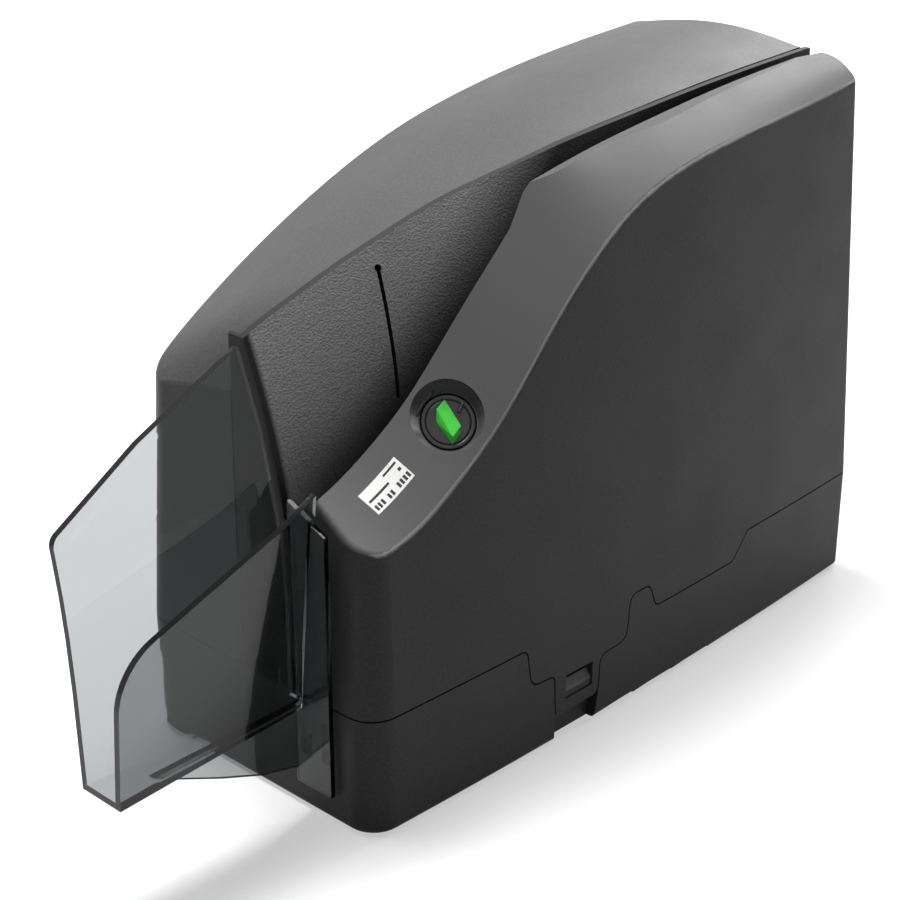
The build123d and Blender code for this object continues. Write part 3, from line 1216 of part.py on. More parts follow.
# ---------------------------------------------------------------- output
PIECES = {
    "base_shell": base_shell,
    "bottom_plate": bottom_plate,
    "rubber_feet": rubber_feet,
    "base_screws": base_screws,
    "far_cover": far_cover,
    "far_guide_wall": far_guide_wall,
    "roller_brackets": lambda: [bracket(x) for x in ROLLER_X.values()],
    "bracket_screws": bracket_screws,
    "shaft_bushes": shaft_bushes,
    "entry_drive_shaft": lambda: drive_shaft(ROLLER_X["entry"]),
    "entry_tyres": lambda: tyres(ROLLER_X["entry"]),
    "entry_pulley": lambda: drive_pulley(ROLLER_X["entry"]),
    "exit_drive_shaft": lambda: drive_shaft(ROLLER_X["exit"]),
    "exit_tyres": lambda: tyres(ROLLER_X["exit"]),
    "exit_pulley": lambda: drive_pulley(ROLLER_X["exit"]),
    "drive_belt": drive_belt,
    "motor_body": motor_body,
    "motor_shaft": motor_shaft,
    "motor_pulley": motor_pulley,
    "magnet_bar": magnet_bar,
    "reading_head": reading_head,
    "head_holder": head_holder,
    "far_image_sensor": far_image_sensor,
    "far_sensor_glass": far_sensor_glass,
    "entry_light_sensor": entry_light_sensor,
    "main_board": main_board,
    "board_chips": board_chips,
    "board_capacitors": board_capacitors,
    "board_screws": board_screws,
    "usb_socket": usb_socket,
    "power_jack": power_jack,
    "latch_keeper": latch_keeper,
    "hinge_post": hinge_post,
    "post_clip": post_clip,
    "deck_screws": deck_screws,
    "door_cover": door_cover,
    "door_guide_wall": door_guide_wall,
    "door_screws": door_screws,
    "near_image_sensor": near_image_sensor,
    "near_sensor_glass": near_sensor_glass,
    "entry_pinch_arm": lambda: pinch_arm("entry"),
    "exit_pinch_arm": lambda: pinch_arm("exit"),
    "arm_pins": arm_pins,
    "entry_idlers": lambda: idlers("entry"),
    "exit_idlers": lambda: idlers("exit"),
    "entry_idler_pin": lambda: idler_pin("entry"),
    "exit_idler_pin": lambda: idler_pin("exit"),
    "pinch_springs": pinch_springs,
    "pressure_pad": pressure_pad,
    "pad_spring": pad_spring,
    "button_board": button_board,
    "button_switch": button_switch,
    "status_light": status_light,
    "button_disc": button_disc,
    "button_lens": button_lens,
    "button_spring": button_spring,
    "latch_slider": latch_slider,
    "latch_spring": latch_spring,
    "pictogram_label": pictogram_label,
    "exit_tray": exit_tray,
}


def solids_of(shape):
    """The separate solids of a part or of a list of parts."""
    return [part.solid() for part in shape] if isinstance(shape, list) else list(shape.solids())


def main():
    """Build every piece, move the whole to its origin under the middle of its box, and write it."""
    os.makedirs("parts", exist_ok=True)
    pieces = {name: solids_of(make()) for name, make in PIECES.items()}
    boxes = [solid.bounding_box() for solids in pieces.values() for solid in solids]
    middle_x = (min(b.min.X for b in boxes) + max(b.max.X for b in boxes)) / 2
    middle_y = (min(b.min.Y for b in boxes) + max(b.max.Y for b in boxes)) / 2
    shift = Pos(-middle_x, -middle_y, 0)
    for name, solids in pieces.items():
        moved = [shift * solid for solid in solids]
        export_step(moved[0] if len(moved) == 1 else Compound(moved), f"parts/{name}.step")
    print("moved by", round(-middle_x, 3), round(-middle_y, 3))


main()
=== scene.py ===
"""Desktop cheque scanner: finishes, fine surface pieces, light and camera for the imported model.

The scene is in metres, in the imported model's own frame: X runs from the tray end to the entry end, Y from the
near side to the far side, Z up. Sizes in the tables below are in millimetres unless they say otherwise.
"""
import bpy
import bmesh
import json
import numpy as np
from mathutils import Matrix, Vector


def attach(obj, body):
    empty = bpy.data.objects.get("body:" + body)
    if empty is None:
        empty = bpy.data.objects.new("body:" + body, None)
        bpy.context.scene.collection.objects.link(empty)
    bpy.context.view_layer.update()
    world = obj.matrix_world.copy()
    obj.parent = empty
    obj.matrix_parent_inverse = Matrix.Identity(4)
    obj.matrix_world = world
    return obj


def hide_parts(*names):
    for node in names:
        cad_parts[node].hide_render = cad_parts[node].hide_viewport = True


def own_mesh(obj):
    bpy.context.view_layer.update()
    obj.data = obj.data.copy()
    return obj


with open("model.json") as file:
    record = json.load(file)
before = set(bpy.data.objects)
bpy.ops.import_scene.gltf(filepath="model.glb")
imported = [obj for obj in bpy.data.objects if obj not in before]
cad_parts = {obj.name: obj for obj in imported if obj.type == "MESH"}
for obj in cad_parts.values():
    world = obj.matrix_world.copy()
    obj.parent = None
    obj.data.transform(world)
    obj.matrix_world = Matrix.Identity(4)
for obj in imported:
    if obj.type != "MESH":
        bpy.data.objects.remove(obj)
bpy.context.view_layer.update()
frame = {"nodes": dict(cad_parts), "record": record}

MM = 0.001
FRAME_SHIFT = Vector((0.033, -0.00325, 0.0))   # metres, from the body's own middle to the frame's origin

# ---------------------------------------------------------------- camera, worked out from the photograph
IMAGE_PX = 900
FOCAL_PX = 1857.67
SENSOR = 36.0
CAMERA_AT = Vector((-0.4057, -0.3464, 0.2962)) + FRAME_SHIFT
CAMERA_RIGHT = (0.6846, -0.7289, 0.0)
CAMERA_UP = (0.2883, 0.2708, 0.9185)
CAMERA_BACK = (-0.6695, -0.6288, 0.3955)
NEAREST_SEEN = 0.01                            # metres


def in_scene(name, data):
    """Object for a mesh, a lamp or a camera, linked to the scene."""
    made = bpy.data.objects.new(name, data)
    bpy.context.scene.collection.objects.link(made)
    return made


def make_camera():
    """Camera at the photograph's station, with a lens that gives its field."""
    data = bpy.data.cameras.new("camera")
    data.sensor_width = SENSOR
    data.lens = FOCAL_PX * SENSOR / IMAGE_PX
    data.clip_start = NEAREST_SEEN
    camera = in_scene("camera", data)
    turn = Matrix((CAMERA_RIGHT, CAMERA_UP, CAMERA_BACK)).transposed().to_4x4()
    camera.matrix_world = Matrix.Translation(CAMERA_AT) @ turn
    bpy.context.scene.camera = camera


# ---------------------------------------------------------------- node helpers
def linear(code):
    """Linear colour of an sRGB hex code."""
    parts = [int(code[k:k + 2], 16) / 255 for k in (0, 2, 4)]
    return tuple(c / 12.92 if c <= 0.04045 else ((c + 0.055) / 1.055) ** 2.4 for c in parts) + (1.0,)


def add(tree, kind, sockets=None, **settings):
    """Adds one node, sets its properties, and sets or links each of its named sockets."""
    node = tree.nodes.new("ShaderNode" + kind)
    for name, value in settings.items():
        setattr(node, name, value)
    for name, value in (sockets or {}).items():
        if isinstance(value, bpy.types.NodeSocket):
            tree.links.new(value, node.inputs[name])
        else:
            node.inputs[name].default_value = value
    return node


def per_metre(size_mm):
    """Texture scale whose features are about this many millimetres across."""
    return 1000.0 / size_mm


def blank(name):
    """Material with an empty tree, its output, and object coordinates."""
    material = bpy.data.materials.new(name)
    material.use_nodes = True
    tree = material.node_tree
    tree.nodes.clear()
    output = add(tree, "OutputMaterial")
    place = add(tree, "TexCoord").outputs["Object"]
    return material, tree, output, place


def finish_with(tree, output, shader):
    """Leads a shader to the material's surface."""
    tree.links.new(shader.outputs[0], output.inputs["Surface"])


def seen_directly(tree):
    """One where the camera looks straight, through clear sheet or by way of gloss, nought for other light."""
    path = add(tree, "LightPath")
    through = add(tree, "Math", {0: path.outputs["Is Camera Ray"], 1: path.outputs["Is Transmission Ray"]},
                  operation="MAXIMUM")
    seen = add(tree, "Math", {0: through.outputs[0], 1: path.outputs["Is Glossy Ray"]}, operation="MAXIMUM")
    return seen.outputs[0]


# ---------------------------------------------------------------- materials
ABS_IOR = 1.53
MATT_SPECULAR = 0.12       # the etched ABS scatters nearly all its gloss, so its upright sides stay dark

# Painted light on faces chosen by the direction that they look in: each range runs from where the tone begins
# to where it is full. Both tones belong to the sloping top of the near tower.
PAINTED_BAND_LIGHT_TONE = "5E5E5E"    # painted light: the sloping band made a little paler than the sides, where light from above falls
PAINTED_CREST_HIGHLIGHT_TONE = "9C9C9C"      # painted highlight: its edge over the near side, the palest line of the object
LOOKS_UP_Z = (0.15, 0.35)
BAND_Y = (-0.25, -0.55)
CREST_Y = (-0.76, -0.84)
CREST_ENDS_Y = (-0.975, -0.92)
PIT_RANGE = (0.35, 0.75)   # share of the noise that is pit, from bottom to top
MOTTLE_MM = 18.0           # patches of uneven sheen


def moulded_abs(name, colour, light, roughness, grain_mm, depth):
    """ABS from a spark-eroded mould: matt, with even fine pits and a faint mottle in its sheen. Its sloping
    band is painted paler, for the light that falls on it, and its crest carries a painted highlight."""
    material, tree, output, place = blank(name)
    pits = add(tree, "TexNoise", {"Vector": place, "Scale": per_metre(grain_mm), "Detail": 3.0,
                                  "Roughness": 0.6})
    mottle = add(tree, "TexNoise", {"Vector": place, "Scale": per_metre(MOTTLE_MM), "Detail": 4.0})
    turn = add(tree, "TexCoord")
    facing = add(tree, "SeparateXYZ", {"Vector": turn.outputs["Normal"]})
    upward = add(tree, "MapRange", {"Value": facing.outputs["Z"], "From Min": LOOKS_UP_Z[0],
                                    "From Max": LOOKS_UP_Z[1]})
    sloping = add(tree, "MapRange", {"Value": facing.outputs["Y"], "From Min": BAND_Y[0],
                                     "From Max": BAND_Y[1]})
    # painted light: faces that look up and towards the near side, the sloping band, are made paler
    painted_band_light = add(tree, "Math", {0: sloping.outputs[0], 1: upward.outputs[0]}, operation="MULTIPLY")
    steep = add(tree, "MapRange", {"Value": facing.outputs["Y"], "From Min": CREST_Y[0],
                                   "From Max": CREST_Y[1]})
    upright = add(tree, "MapRange", {"Value": facing.outputs["Y"], "From Min": CREST_ENDS_Y[0],
                                     "From Max": CREST_ENDS_Y[1]})
    edge = add(tree, "Math", {0: steep.outputs[0], 1: upright.outputs[0]}, operation="MULTIPLY")
    # painted highlight: the steep faces between the band and the upright near side
    painted_crest_highlight = add(tree, "Math", {0: edge.outputs[0], 1: upward.outputs[0]}, operation="MULTIPLY")
    pit = add(tree, "MapRange", {"Value": pits.outputs["Fac"], "From Min": PIT_RANGE[0],
                                 "From Max": PIT_RANGE[1]})
    moulded = add(tree, "Mix", {"Factor": pit.outputs[0], "A": linear(colour), "B": linear(light)},
                  data_type="RGBA")
    with_painted_band_light = add(tree, "Mix", {"Factor": painted_band_light.outputs[0], "A": moulded.outputs["Result"],
                                "B": linear(PAINTED_BAND_LIGHT_TONE)}, data_type="RGBA")
    tone = add(tree, "Mix", {"Factor": painted_crest_highlight.outputs[0], "A": with_painted_band_light.outputs["Result"],
                             "B": linear(PAINTED_CREST_HIGHLIGHT_TONE)}, data_type="RGBA")
    gloss = add(tree, "MapRange", {"Value": mottle.outputs["Fac"], "From Min": 0.3, "From Max": 0.7,
                                   "To Min": roughness - 0.04, "To Max": roughness + 0.05})
    bump = add(tree, "Bump", {"Height": pits.outputs["Fac"], "Distance": depth * MM, "Strength": 0.6})
    shader = add(tree, "BsdfPrincipled", {"Base Color": tone.outputs["Result"], "Roughness": gloss.outputs[0],
                                          "IOR": ABS_IOR, "Specular IOR Level": MATT_SPECULAR,
                                          "Normal": bump.outputs[0]})
    finish_with(tree, output, shader)
    return material


GRAIN_FROM_X, GRAIN_FULL_X = -79.8, -78.5     # the mould leaves the front end plate smooth, and it gets no painted light
GRAINED_Y = (-0.4, -0.7)                      # grain and painted light only on the face towards the track
PAINTED_LIGHT_FROM, PAINTED_LIGHT_FULL = 142.0, 170.0       # height less distance along X, over which the painted light fades in
PEBBLE_RANGE = (0.3, 0.7)                     # share of the noise, from valley to top of a pebble
VALLEY_TONE = 0.75                            # tone of a pebble's valley as a share of its top's, within the painted light
FINE_GRAIN_MM, FINE_SHARE = 0.35, 0.2         # a finer grain on the pebbles


def grained_abs(name, colour, light, roughness, grain_mm, depth):
    """Leather-grained ABS from an etched mould: soft pebbles in its bump. Painted light makes it paler high up
    at the tray end, most on the pebbles' tops, and painted shade leaves it dark lower down towards the entry
    end."""
    material, tree, output, place = blank(name)
    turn = add(tree, "TexCoord")
    along = add(tree, "SeparateXYZ", {"Vector": place})
    facing = add(tree, "SeparateXYZ", {"Vector": turn.outputs["Normal"]})
    past_plate = add(tree, "MapRange", {"Value": along.outputs["X"], "From Min": GRAIN_FROM_X * MM,
                                        "From Max": GRAIN_FULL_X * MM})
    upright = add(tree, "MapRange", {"Value": facing.outputs["Y"], "From Min": GRAINED_Y[0],
                                     "From Max": GRAINED_Y[1]})
    grained = add(tree, "Math", {0: past_plate.outputs[0], 1: upright.outputs[0]}, operation="MULTIPLY")
    # painted light and shade along a slanting line: paler high up at the tray end, dark lower towards the entry
    # end
    height = add(tree, "Math", {0: along.outputs["Z"], 1: along.outputs["X"]}, operation="SUBTRACT")
    high = add(tree, "MapRange", {"Value": height.outputs[0], "From Min": PAINTED_LIGHT_FROM * MM,
                                  "From Max": PAINTED_LIGHT_FULL * MM})
    painted_light = add(tree, "Math", {0: grained.outputs[0], 1: high.outputs[0]}, operation="MULTIPLY")
    pebbles = add(tree, "TexNoise", {"Vector": place, "Scale": per_metre(grain_mm), "Detail": 1.5,
                                     "Roughness": 0.5})
    fine = add(tree, "TexNoise", {"Vector": place, "Scale": per_metre(FINE_GRAIN_MM), "Detail": 2.0})
    relief = add(tree, "Mix", {"Factor": FINE_SHARE, "A": pebbles.outputs["Fac"], "B": fine.outputs["Fac"]},
                 data_type="FLOAT")
    moulded = add(tree, "Math", {0: relief.outputs["Result"], 1: grained.outputs[0]}, operation="MULTIPLY")
    tops = add(tree, "MapRange", {"Value": pebbles.outputs["Fac"], "From Min": PEBBLE_RANGE[0],
                                  "From Max": PEBBLE_RANGE[1], "To Min": VALLEY_TONE, "To Max": 1.0})
    # painted light, stronger on the pebbles' tops
    painted_light_on_tops = add(tree, "Math", {0: tops.outputs[0], 1: painted_light.outputs[0]}, operation="MULTIPLY")
    tone = add(tree, "Mix", {"Factor": painted_light_on_tops.outputs[0], "A": linear(colour), "B": linear(light)},
               data_type="RGBA")
    bump = add(tree, "Bump", {"Height": moulded.outputs[0], "Distance": depth * MM, "Strength": 0.9})
    shader = add(tree, "BsdfPrincipled", {"Base Color": tone.outputs["Result"], "Roughness": roughness,
                                          "IOR": ABS_IOR, "Specular IOR Level": MATT_SPECULAR,
                                          "Normal": bump.outputs[0]})
    finish_with(tree, output, shader)
    return material


def smoked_polycarbonate():
    """Clear smoked sheet, moulded and polished: glossy, faintly scuffed, and greyer the more sheet one looks
    through. Its IOR is under the usual 1.58, which keeps the dark wall behind it dark."""
    material, tree, output, place = blank("smoked_polycarbonate")
    scuff = add(tree, "TexNoise", {"Vector": place, "Scale": per_metre(14.0), "Detail": 3.0})
    gloss = add(tree, "MapRange", {"Value": scuff.outputs["Fac"], "From Min": 0.4, "From Max": 0.9,
                                   "To Min": 0.015, "To Max": 0.05})
    shader = add(tree, "BsdfPrincipled", {"Base Color": linear("D8DADB"), "Roughness": gloss.outputs[0],
                                          "IOR": 1.36, "Transmission Weight": 1.0})
    body = add(tree, "VolumeAbsorption", {"Color": linear("6E7274"), "Density": 300.0})
    finish_with(tree, output, shader)
    tree.links.new(body.outputs[0], output.inputs["Volume"])
    return material


def smoked_rim():
    """Rim of the smoked sheet: the light that runs along the sheet is used up, so it is black and glossy."""
    material, tree, output, place = blank("smoked_polycarbonate_rim")
    scuff = add(tree, "TexNoise", {"Vector": place, "Scale": per_metre(1.2), "Detail": 5.0})
    gloss = add(tree, "MapRange", {"Value": scuff.outputs["Fac"], "From Min": 0.4, "From Max": 0.9,
                                   "To Min": 0.12, "To Max": 0.22})
    shader = add(tree, "BsdfPrincipled", {"Base Color": linear("060607"), "Roughness": gloss.outputs[0],
                                          "IOR": 1.58, "Specular IOR Level": 0.2})
    finish_with(tree, output, shader)
    return material


MARK_LENGTH = 12.0         # length of a tool mark as a multiple of its spacing


def turned_metal(name, colour, roughness, spacing_mm=0.25):
    """Machined or rolled metal: fine parallel tool marks, which streak the highlight, and uneven sheen."""
    material, tree, output, place = blank(name)
    stretch = add(tree, "Mapping", {"Vector": place, "Scale": (1.0, 1.0, MARK_LENGTH)})
    marks = add(tree, "TexNoise", {"Vector": stretch.outputs[0], "Scale": per_metre(spacing_mm * MARK_LENGTH),
                                   "Detail": 3.0})
    gloss = add(tree, "MapRange", {"Value": marks.outputs["Fac"], "To Min": roughness - 0.08,
                                   "To Max": roughness + 0.1})
    bump = add(tree, "Bump", {"Height": marks.outputs["Fac"], "Distance": 0.01 * MM, "Strength": 0.4})
    shader = add(tree, "BsdfPrincipled", {"Base Color": linear(colour), "Metallic": 1.0,
                                          "Roughness": gloss.outputs[0], "Normal": bump.outputs[0]})
    finish_with(tree, output, shader)
    return material


BLOOM_TONE = "3A3A3A"      # dry haze that comes out of rubber as it ages


def soft_rubber(name, colour, roughness=0.75):
    """Cured rubber, or felt: matt, with a fine tooth and a patchy dry bloom."""
    material, tree, output, place = blank(name)
    bloom = add(tree, "TexNoise", {"Vector": place, "Scale": per_metre(2.5), "Detail": 5.0})
    fine = add(tree, "TexNoise", {"Vector": place, "Scale": per_metre(0.4), "Detail": 2.0})
    mixed = add(tree, "Mix", {"Factor": bloom.outputs["Fac"], "A": linear(colour), "B": linear(BLOOM_TONE)},
                data_type="RGBA")
    bump = add(tree, "Bump", {"Height": fine.outputs["Fac"], "Distance": 0.03 * MM, "Strength": 0.5})
    shader = add(tree, "BsdfPrincipled", {"Base Color": mixed.outputs["Result"], "Roughness": roughness,
                                          "IOR": 1.5, "Normal": bump.outputs[0]})
    finish_with(tree, output, shader)
    return material


def smooth_plastic(name, colour, roughness):
    """Plain moulded engineering plastic, lacquer, film or ink: even, with faint flow marks in its sheen."""
    material, tree, output, place = blank(name)
    flow = add(tree, "TexNoise", {"Vector": place, "Scale": per_metre(6.0), "Detail": 4.0})
    gloss = add(tree, "MapRange", {"Value": flow.outputs["Fac"], "To Min": roughness - 0.06,
                                   "To Max": roughness + 0.08})
    bump = add(tree, "Bump", {"Height": flow.outputs["Fac"], "Distance": 0.02 * MM, "Strength": 0.3})
    shader = add(tree, "BsdfPrincipled", {"Base Color": linear(colour), "Roughness": gloss.outputs[0],
                                          "IOR": 1.5, "Normal": bump.outputs[0]})
    finish_with(tree, output, shader)
    return material


def green_crystal():
    """Tinted acrylic lens lit from behind: saturated green with a soft inner glow."""
    material, tree, output, place = blank("green_acrylic_lens")
    veins = add(tree, "TexNoise", {"Vector": place, "Scale": per_metre(5.0), "Detail": 2.0})
    mixed = add(tree, "Mix", {"Factor": veins.outputs["Fac"], "A": linear("179A22"), "B": linear("46D440")},
                data_type="RGBA")
    shader = add(tree, "BsdfPrincipled", {"Base Color": mixed.outputs["Result"], "Roughness": 0.12,
                                          "IOR": 1.49, "Emission Color": mixed.outputs["Result"],
                                          "Emission Strength": 0.22})
    finish_with(tree, output, shader)
    return material


def clear_glass():
    """Ground and polished cover glass of an image sensor: clear, with a trace of green."""
    material, tree, output, _ = blank("ground_glass")
    shader = add(tree, "BsdfPrincipled", {"Base Color": linear("E8F2F0"), "Roughness": 0.05, "IOR": 1.5,
                                          "Transmission Weight": 1.0})
    finish_with(tree, output, shader)
    return material


MATERIALS = {
    "cover_abs": moulded_abs("spark_textured_abs", "3E3E3F", "4E4E4F", 0.42, 0.55, 0.07),
    # the guide wall's black, left dark as painted shade low in the track, and the pale tone of its painted
    # light
    "guide_abs": grained_abs("leather_grained_abs", "1E1E1F", "A4A4A5", 0.5, 0.62, 0.22),
    "button_abs": smooth_plastic("satin_abs", "1E1E1F", 0.35),
    "latch_abs": moulded_abs("grey_abs", "3A3A3B", "4A4A4B", 0.45, 0.4, 0.03),
    "foot_rubber": soft_rubber("foot_rubber", "141414"),
    "tyre_rubber": soft_rubber("tyre_rubber", "1A1A1A"),
    "idler_grey": soft_rubber("ground_grey_rubber", "6A6A68"),
    "steel": turned_metal("turned_steel", "B8B8B6", 0.3),
    "sheet_steel": turned_metal("zinc_plated_sheet", "C4C6C8", 0.35, 0.6),
    "motor_steel": smooth_plastic("black_lacquered_can", "1A1A1C", 0.4),
    "head_steel": turned_metal("lapped_head_metal", "D0D0CC", 0.15),
    "magnet": turned_metal("nickel_plated_magnet", "B0B0AC", 0.25),
    "brass": turned_metal("turned_brass", "C9A45A", 0.28),
    "white_acetal": smooth_plastic("white_acetal", "E4E4E0", 0.35),
    "sensor_black": smooth_plastic("glass_filled_nylon", "161616", 0.5),
    "clear_glass": clear_glass(),
    "board_green": smooth_plastic("solder_masked_laminate", "1C5A34", 0.3),
    "capacitor": smooth_plastic("sleeved_capacitor", "20283C", 0.35),
    "socket_metal": turned_metal("nickel_plated_shell", "C8C8C4", 0.25),
    "pad_felt": soft_rubber("dense_felt", "9A9484", 0.95),
    "green_crystal": green_crystal(),
    "label_white": smooth_plastic("printed_film", "F0F0EE", 0.55),
    "smoked_clear": smoked_polycarbonate(),
    "smoked_rim": smoked_rim(),
    "ink": smooth_plastic("screen_ink", "1B1B1D", 0.5),
}


def dress_nodes():
    """Gives every CAD node the finish of its slot in the record."""
    slots = {part["node"]: part["material_slot"] for part in frame["record"]["subparts"]}
    for name, node in frame["nodes"].items():
        node.data.materials.clear()
        node.data.materials.append(MATERIALS[slots[name]])


# ---------------------------------------------------------------- mesh helpers
def rows(items, name, width, kind=float):
    """One property of all the vertices, faces or corners of a mesh, as rows of numbers."""
    flat = np.empty(len(items) * width, dtype=kind)
    items.foreach_get(name, flat)
    return flat.reshape(-1, width)


def grid_faces(across, down, closed=False):
    """Quads of a grid of points that is across rows by down columns, its columns joined round if closed."""
    r, c = np.meshgrid(np.arange(across - 1), np.arange(down if closed else down - 1), indexing="ij")
    right = (c + 1) % down
    near, far = r * down, (r + 1) * down
    return np.stack((near + c, near + right, far + right, far + c), axis=-1).reshape(-1, 4)


def piece(name, points, faces, finish, body):
    """Smooth mesh piece from an array of points and an array of face corners, riding on one body. Points that
    meet are joined, so its seams and poles are closed, and its faces are turned outwards."""
    data = bpy.data.meshes.new(name)
    data.from_pydata(points.tolist(), [], faces.tolist())
    shell = bmesh.new()
    shell.from_mesh(data)
    bmesh.ops.remove_doubles(shell, verts=shell.verts, dist=1e-7)
    bmesh.ops.recalc_face_normals(shell, faces=shell.faces)
    shell.to_mesh(data)
    shell.free()
    data.polygons.foreach_set("use_smooth", np.full(len(data.polygons), True))
    data.materials.append(finish)
    made = in_scene(name, data)
    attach(made, body)
    return made


SHARP = 0.5                              # radians, past which an edge of a joined copy stays sharp


def merged(node, name, body):
    """Copy of a CAD node with its loose triangles joined at their corners, sharp only where faces turn."""
    data = frame["nodes"][node].data.copy()
    data.name = name
    shell = bmesh.new()
    shell.from_mesh(data)
    bmesh.ops.remove_doubles(shell, verts=shell.verts, dist=1e-6)
    for edge in shell.edges:
        edge.smooth = len(edge.link_faces) == 2 and edge.calc_face_angle() < SHARP
    for face in shell.faces:
        face.smooth = True
    shell.to_mesh(data)
    shell.free()
    made = in_scene(name, data)
    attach(made, body)
    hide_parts(node)
    return made


# ---------------------------------------------------------------- start button, on an axis square to the band
BUTTON_AT = np.array((-74.77, -35.52, 109.19)) * MM + np.array(FRAME_SHIFT)   # metres, its axis at the band
BUTTON_OUT = np.array((-0.88, -1.26, 1.0)) / np.linalg.norm((0.88, 1.26, 1.0))
BUTTON_RIGHT = np.array((1.26, -0.88, 0.0)) / np.hypot(1.26, 0.88)
BUTTON_TOP = np.cross(BUTTON_OUT, BUTTON_RIGHT)

DISC_TOP = 2.0             # depth of the disc's face below the band
DISC_R = 7.45
DISC_T = 1.2
DISC_TURNS = 96            # points round the disc
RIM_R = 0.4                # rounding of its rim
FACE_DEPTH = 0.35          # dish of its face below the rim
# radius and depth of the face, from its middle out past a step, a narrow ring groove and the start of the rim
FACE_RADII = (0.0, 5.6, 5.95, 6.05, 6.3, 6.4, 6.6)
FACE_DEPTHS = (FACE_DEPTH, 0.3, 0.3, 0.75, 0.75, 0.05, 0.0)


def in_button(x, y, out):
    """Points in the button's own frame, in mm across, up and out, as rows in the scene's frame in metres."""
    x, y, out = np.broadcast_arrays(x, y, out)
    local = np.stack((x.ravel(), y.ravel(), out.ravel()), axis=1) * MM
    return BUTTON_AT + local @ np.stack((BUTTON_RIGHT, BUTTON_TOP, BUTTON_OUT))


def start_disc():
    """Disc turned from one profile of radius and depth: flat face, ring groove, a quarter circle for its rim,
    and the underside. A point is radius times cosine and sine of the turn, at its depth below the band."""
    quarter = np.linspace(0, np.pi / 2, 7)
    radius = np.concatenate((FACE_RADII, DISC_R - RIM_R + RIM_R * np.sin(quarter), (DISC_R, 0.0)))
    depth = np.concatenate((FACE_DEPTHS, RIM_R - RIM_R * np.cos(quarter), (DISC_T, DISC_T)))
    angle = np.linspace(0, 2 * np.pi, DISC_TURNS, endpoint=False)
    x = radius[:, None] * np.cos(angle)
    y = radius[:, None] * np.sin(angle)
    out = -DISC_TOP - depth[:, None]
    disc = piece("start_disc", in_button(x, y, out), grid_faces(len(radius), DISC_TURNS, closed=True),
                 MATERIALS["button_abs"], "button")
    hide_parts("button_disc")


RIB_START, RIB_END = np.array((4.75, 5.25)), np.array((2.9, 2.2))     # across and up on the disc's face
RIB_HALF_WIDTH, RIB_HEIGHT = 0.55, 0.35
RIB_ALONG, RIB_ROUND = 25, 13            # points along the rib and round its arch


def pointer_rib():
    """Half-round rib across the disc's ring: an arch, cosine aside and sine out, carried along a line. Its
    size is the square root of one less the sixth power of the way from the line's middle, which closes the
    ends."""
    line = RIB_END - RIB_START
    along = line / np.linalg.norm(line)
    aside = np.array((-along[1], along[0]))
    s = np.linspace(0, 1, RIB_ALONG)[:, None]
    t = np.linspace(0, np.pi, RIB_ROUND)[None, :]
    swell = np.clip(1 - np.abs(2 * s - 1) ** 6, 0, 1) ** 0.5
    x = RIB_START[0] + line[0] * s + RIB_HALF_WIDTH * swell * np.cos(t) * aside[0]
    y = RIB_START[1] + line[1] * s + RIB_HALF_WIDTH * swell * np.cos(t) * aside[1]
    out = -DISC_TOP - FACE_DEPTH + (RIB_HEIGHT + FACE_DEPTH) * swell * np.sin(t)
    rib = piece("pointer_rib", in_button(x, y, out), grid_faces(RIB_ALONG, RIB_ROUND),
                MATERIALS["button_abs"], "button")


# corners of the lens: its foot across and up, then its raised corners across, up and out
CRYSTAL_FOOT = np.array(((-0.35, 6.2), (-2.9, 3.6), (-3.2, 0.2), (0.45, -6.3), (2.95, -3.5), (3.2, -1.4)))
CRYSTAL_RAISED = np.array(((-0.35, 6.0, 0.3), (-2.95, 3.55, 0.8), (3.1, -1.5, 0.9), (0.42, -4.35, 1.4)))
CRYSTAL_SUNK = 0.5                       # depth of its foot below the rim of the disc
CRYSTAL_EASE = 0.14                      # width of the softened edges


def start_crystal():
    """Faceted lens: the convex hull of a six-cornered foot and four raised corners, highest near its lower
    tip, with its edges softened."""
    x = np.concatenate((CRYSTAL_FOOT[:, 0], CRYSTAL_RAISED[:, 0]))
    y = np.concatenate((CRYSTAL_FOOT[:, 1], CRYSTAL_RAISED[:, 1]))
    out = np.concatenate((np.full(len(CRYSTAL_FOOT), -CRYSTAL_SUNK), CRYSTAL_RAISED[:, 2])) - DISC_TOP
    data = bpy.data.meshes.new("start_crystal")
    data.from_pydata(in_button(x, y, out).tolist(), [], [])
    hull = bmesh.new()
    hull.from_mesh(data)
    bmesh.ops.convex_hull(hull, input=hull.verts)
    bmesh.ops.dissolve_limit(hull, angle_limit=0.03, verts=hull.verts, edges=hull.edges)
    bmesh.ops.recalc_face_normals(hull, faces=hull.faces)
    hull.to_mesh(data)
    hull.free()
    data.materials.append(MATERIALS["green_crystal"])
    crystal = in_scene("start_crystal", data)
    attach(crystal, "button")
    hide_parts("button_lens")
    bevel = crystal.modifiers.new("eased_edges", "BEVEL")
    bevel.width = CRYSTAL_EASE * MM
    bevel.segments = 2
    bevel.limit_method = "ANGLE"
    bevel.angle_limit = 0.2
    bevel.harden_normals = True


def start_washer():
    """Coned spring washer under the disc: a joined copy of its CAD node, with a mesh of its own."""
    washer = merged("button_spring", "start_washer", "door")
    depth = (rows(washer.data.vertices, "co", 3) - BUTTON_AT) @ BUTTON_OUT
    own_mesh(washer)


# ---------------------------------------------------------------- sticker with a cheque sign
# sticker corners in plan on the body's own frame: tray end far, entry end far, entry end near, tray end near
LABEL_CORNERS = np.array(((-104.35, -30.75), (-91.4, -31.05), (-89.2, -36.55), (-102.46, -36.4)))
LABEL_MIDDLE = (-97.0, -34.0)
LABEL_T = 0.1
INK_T = 0.03
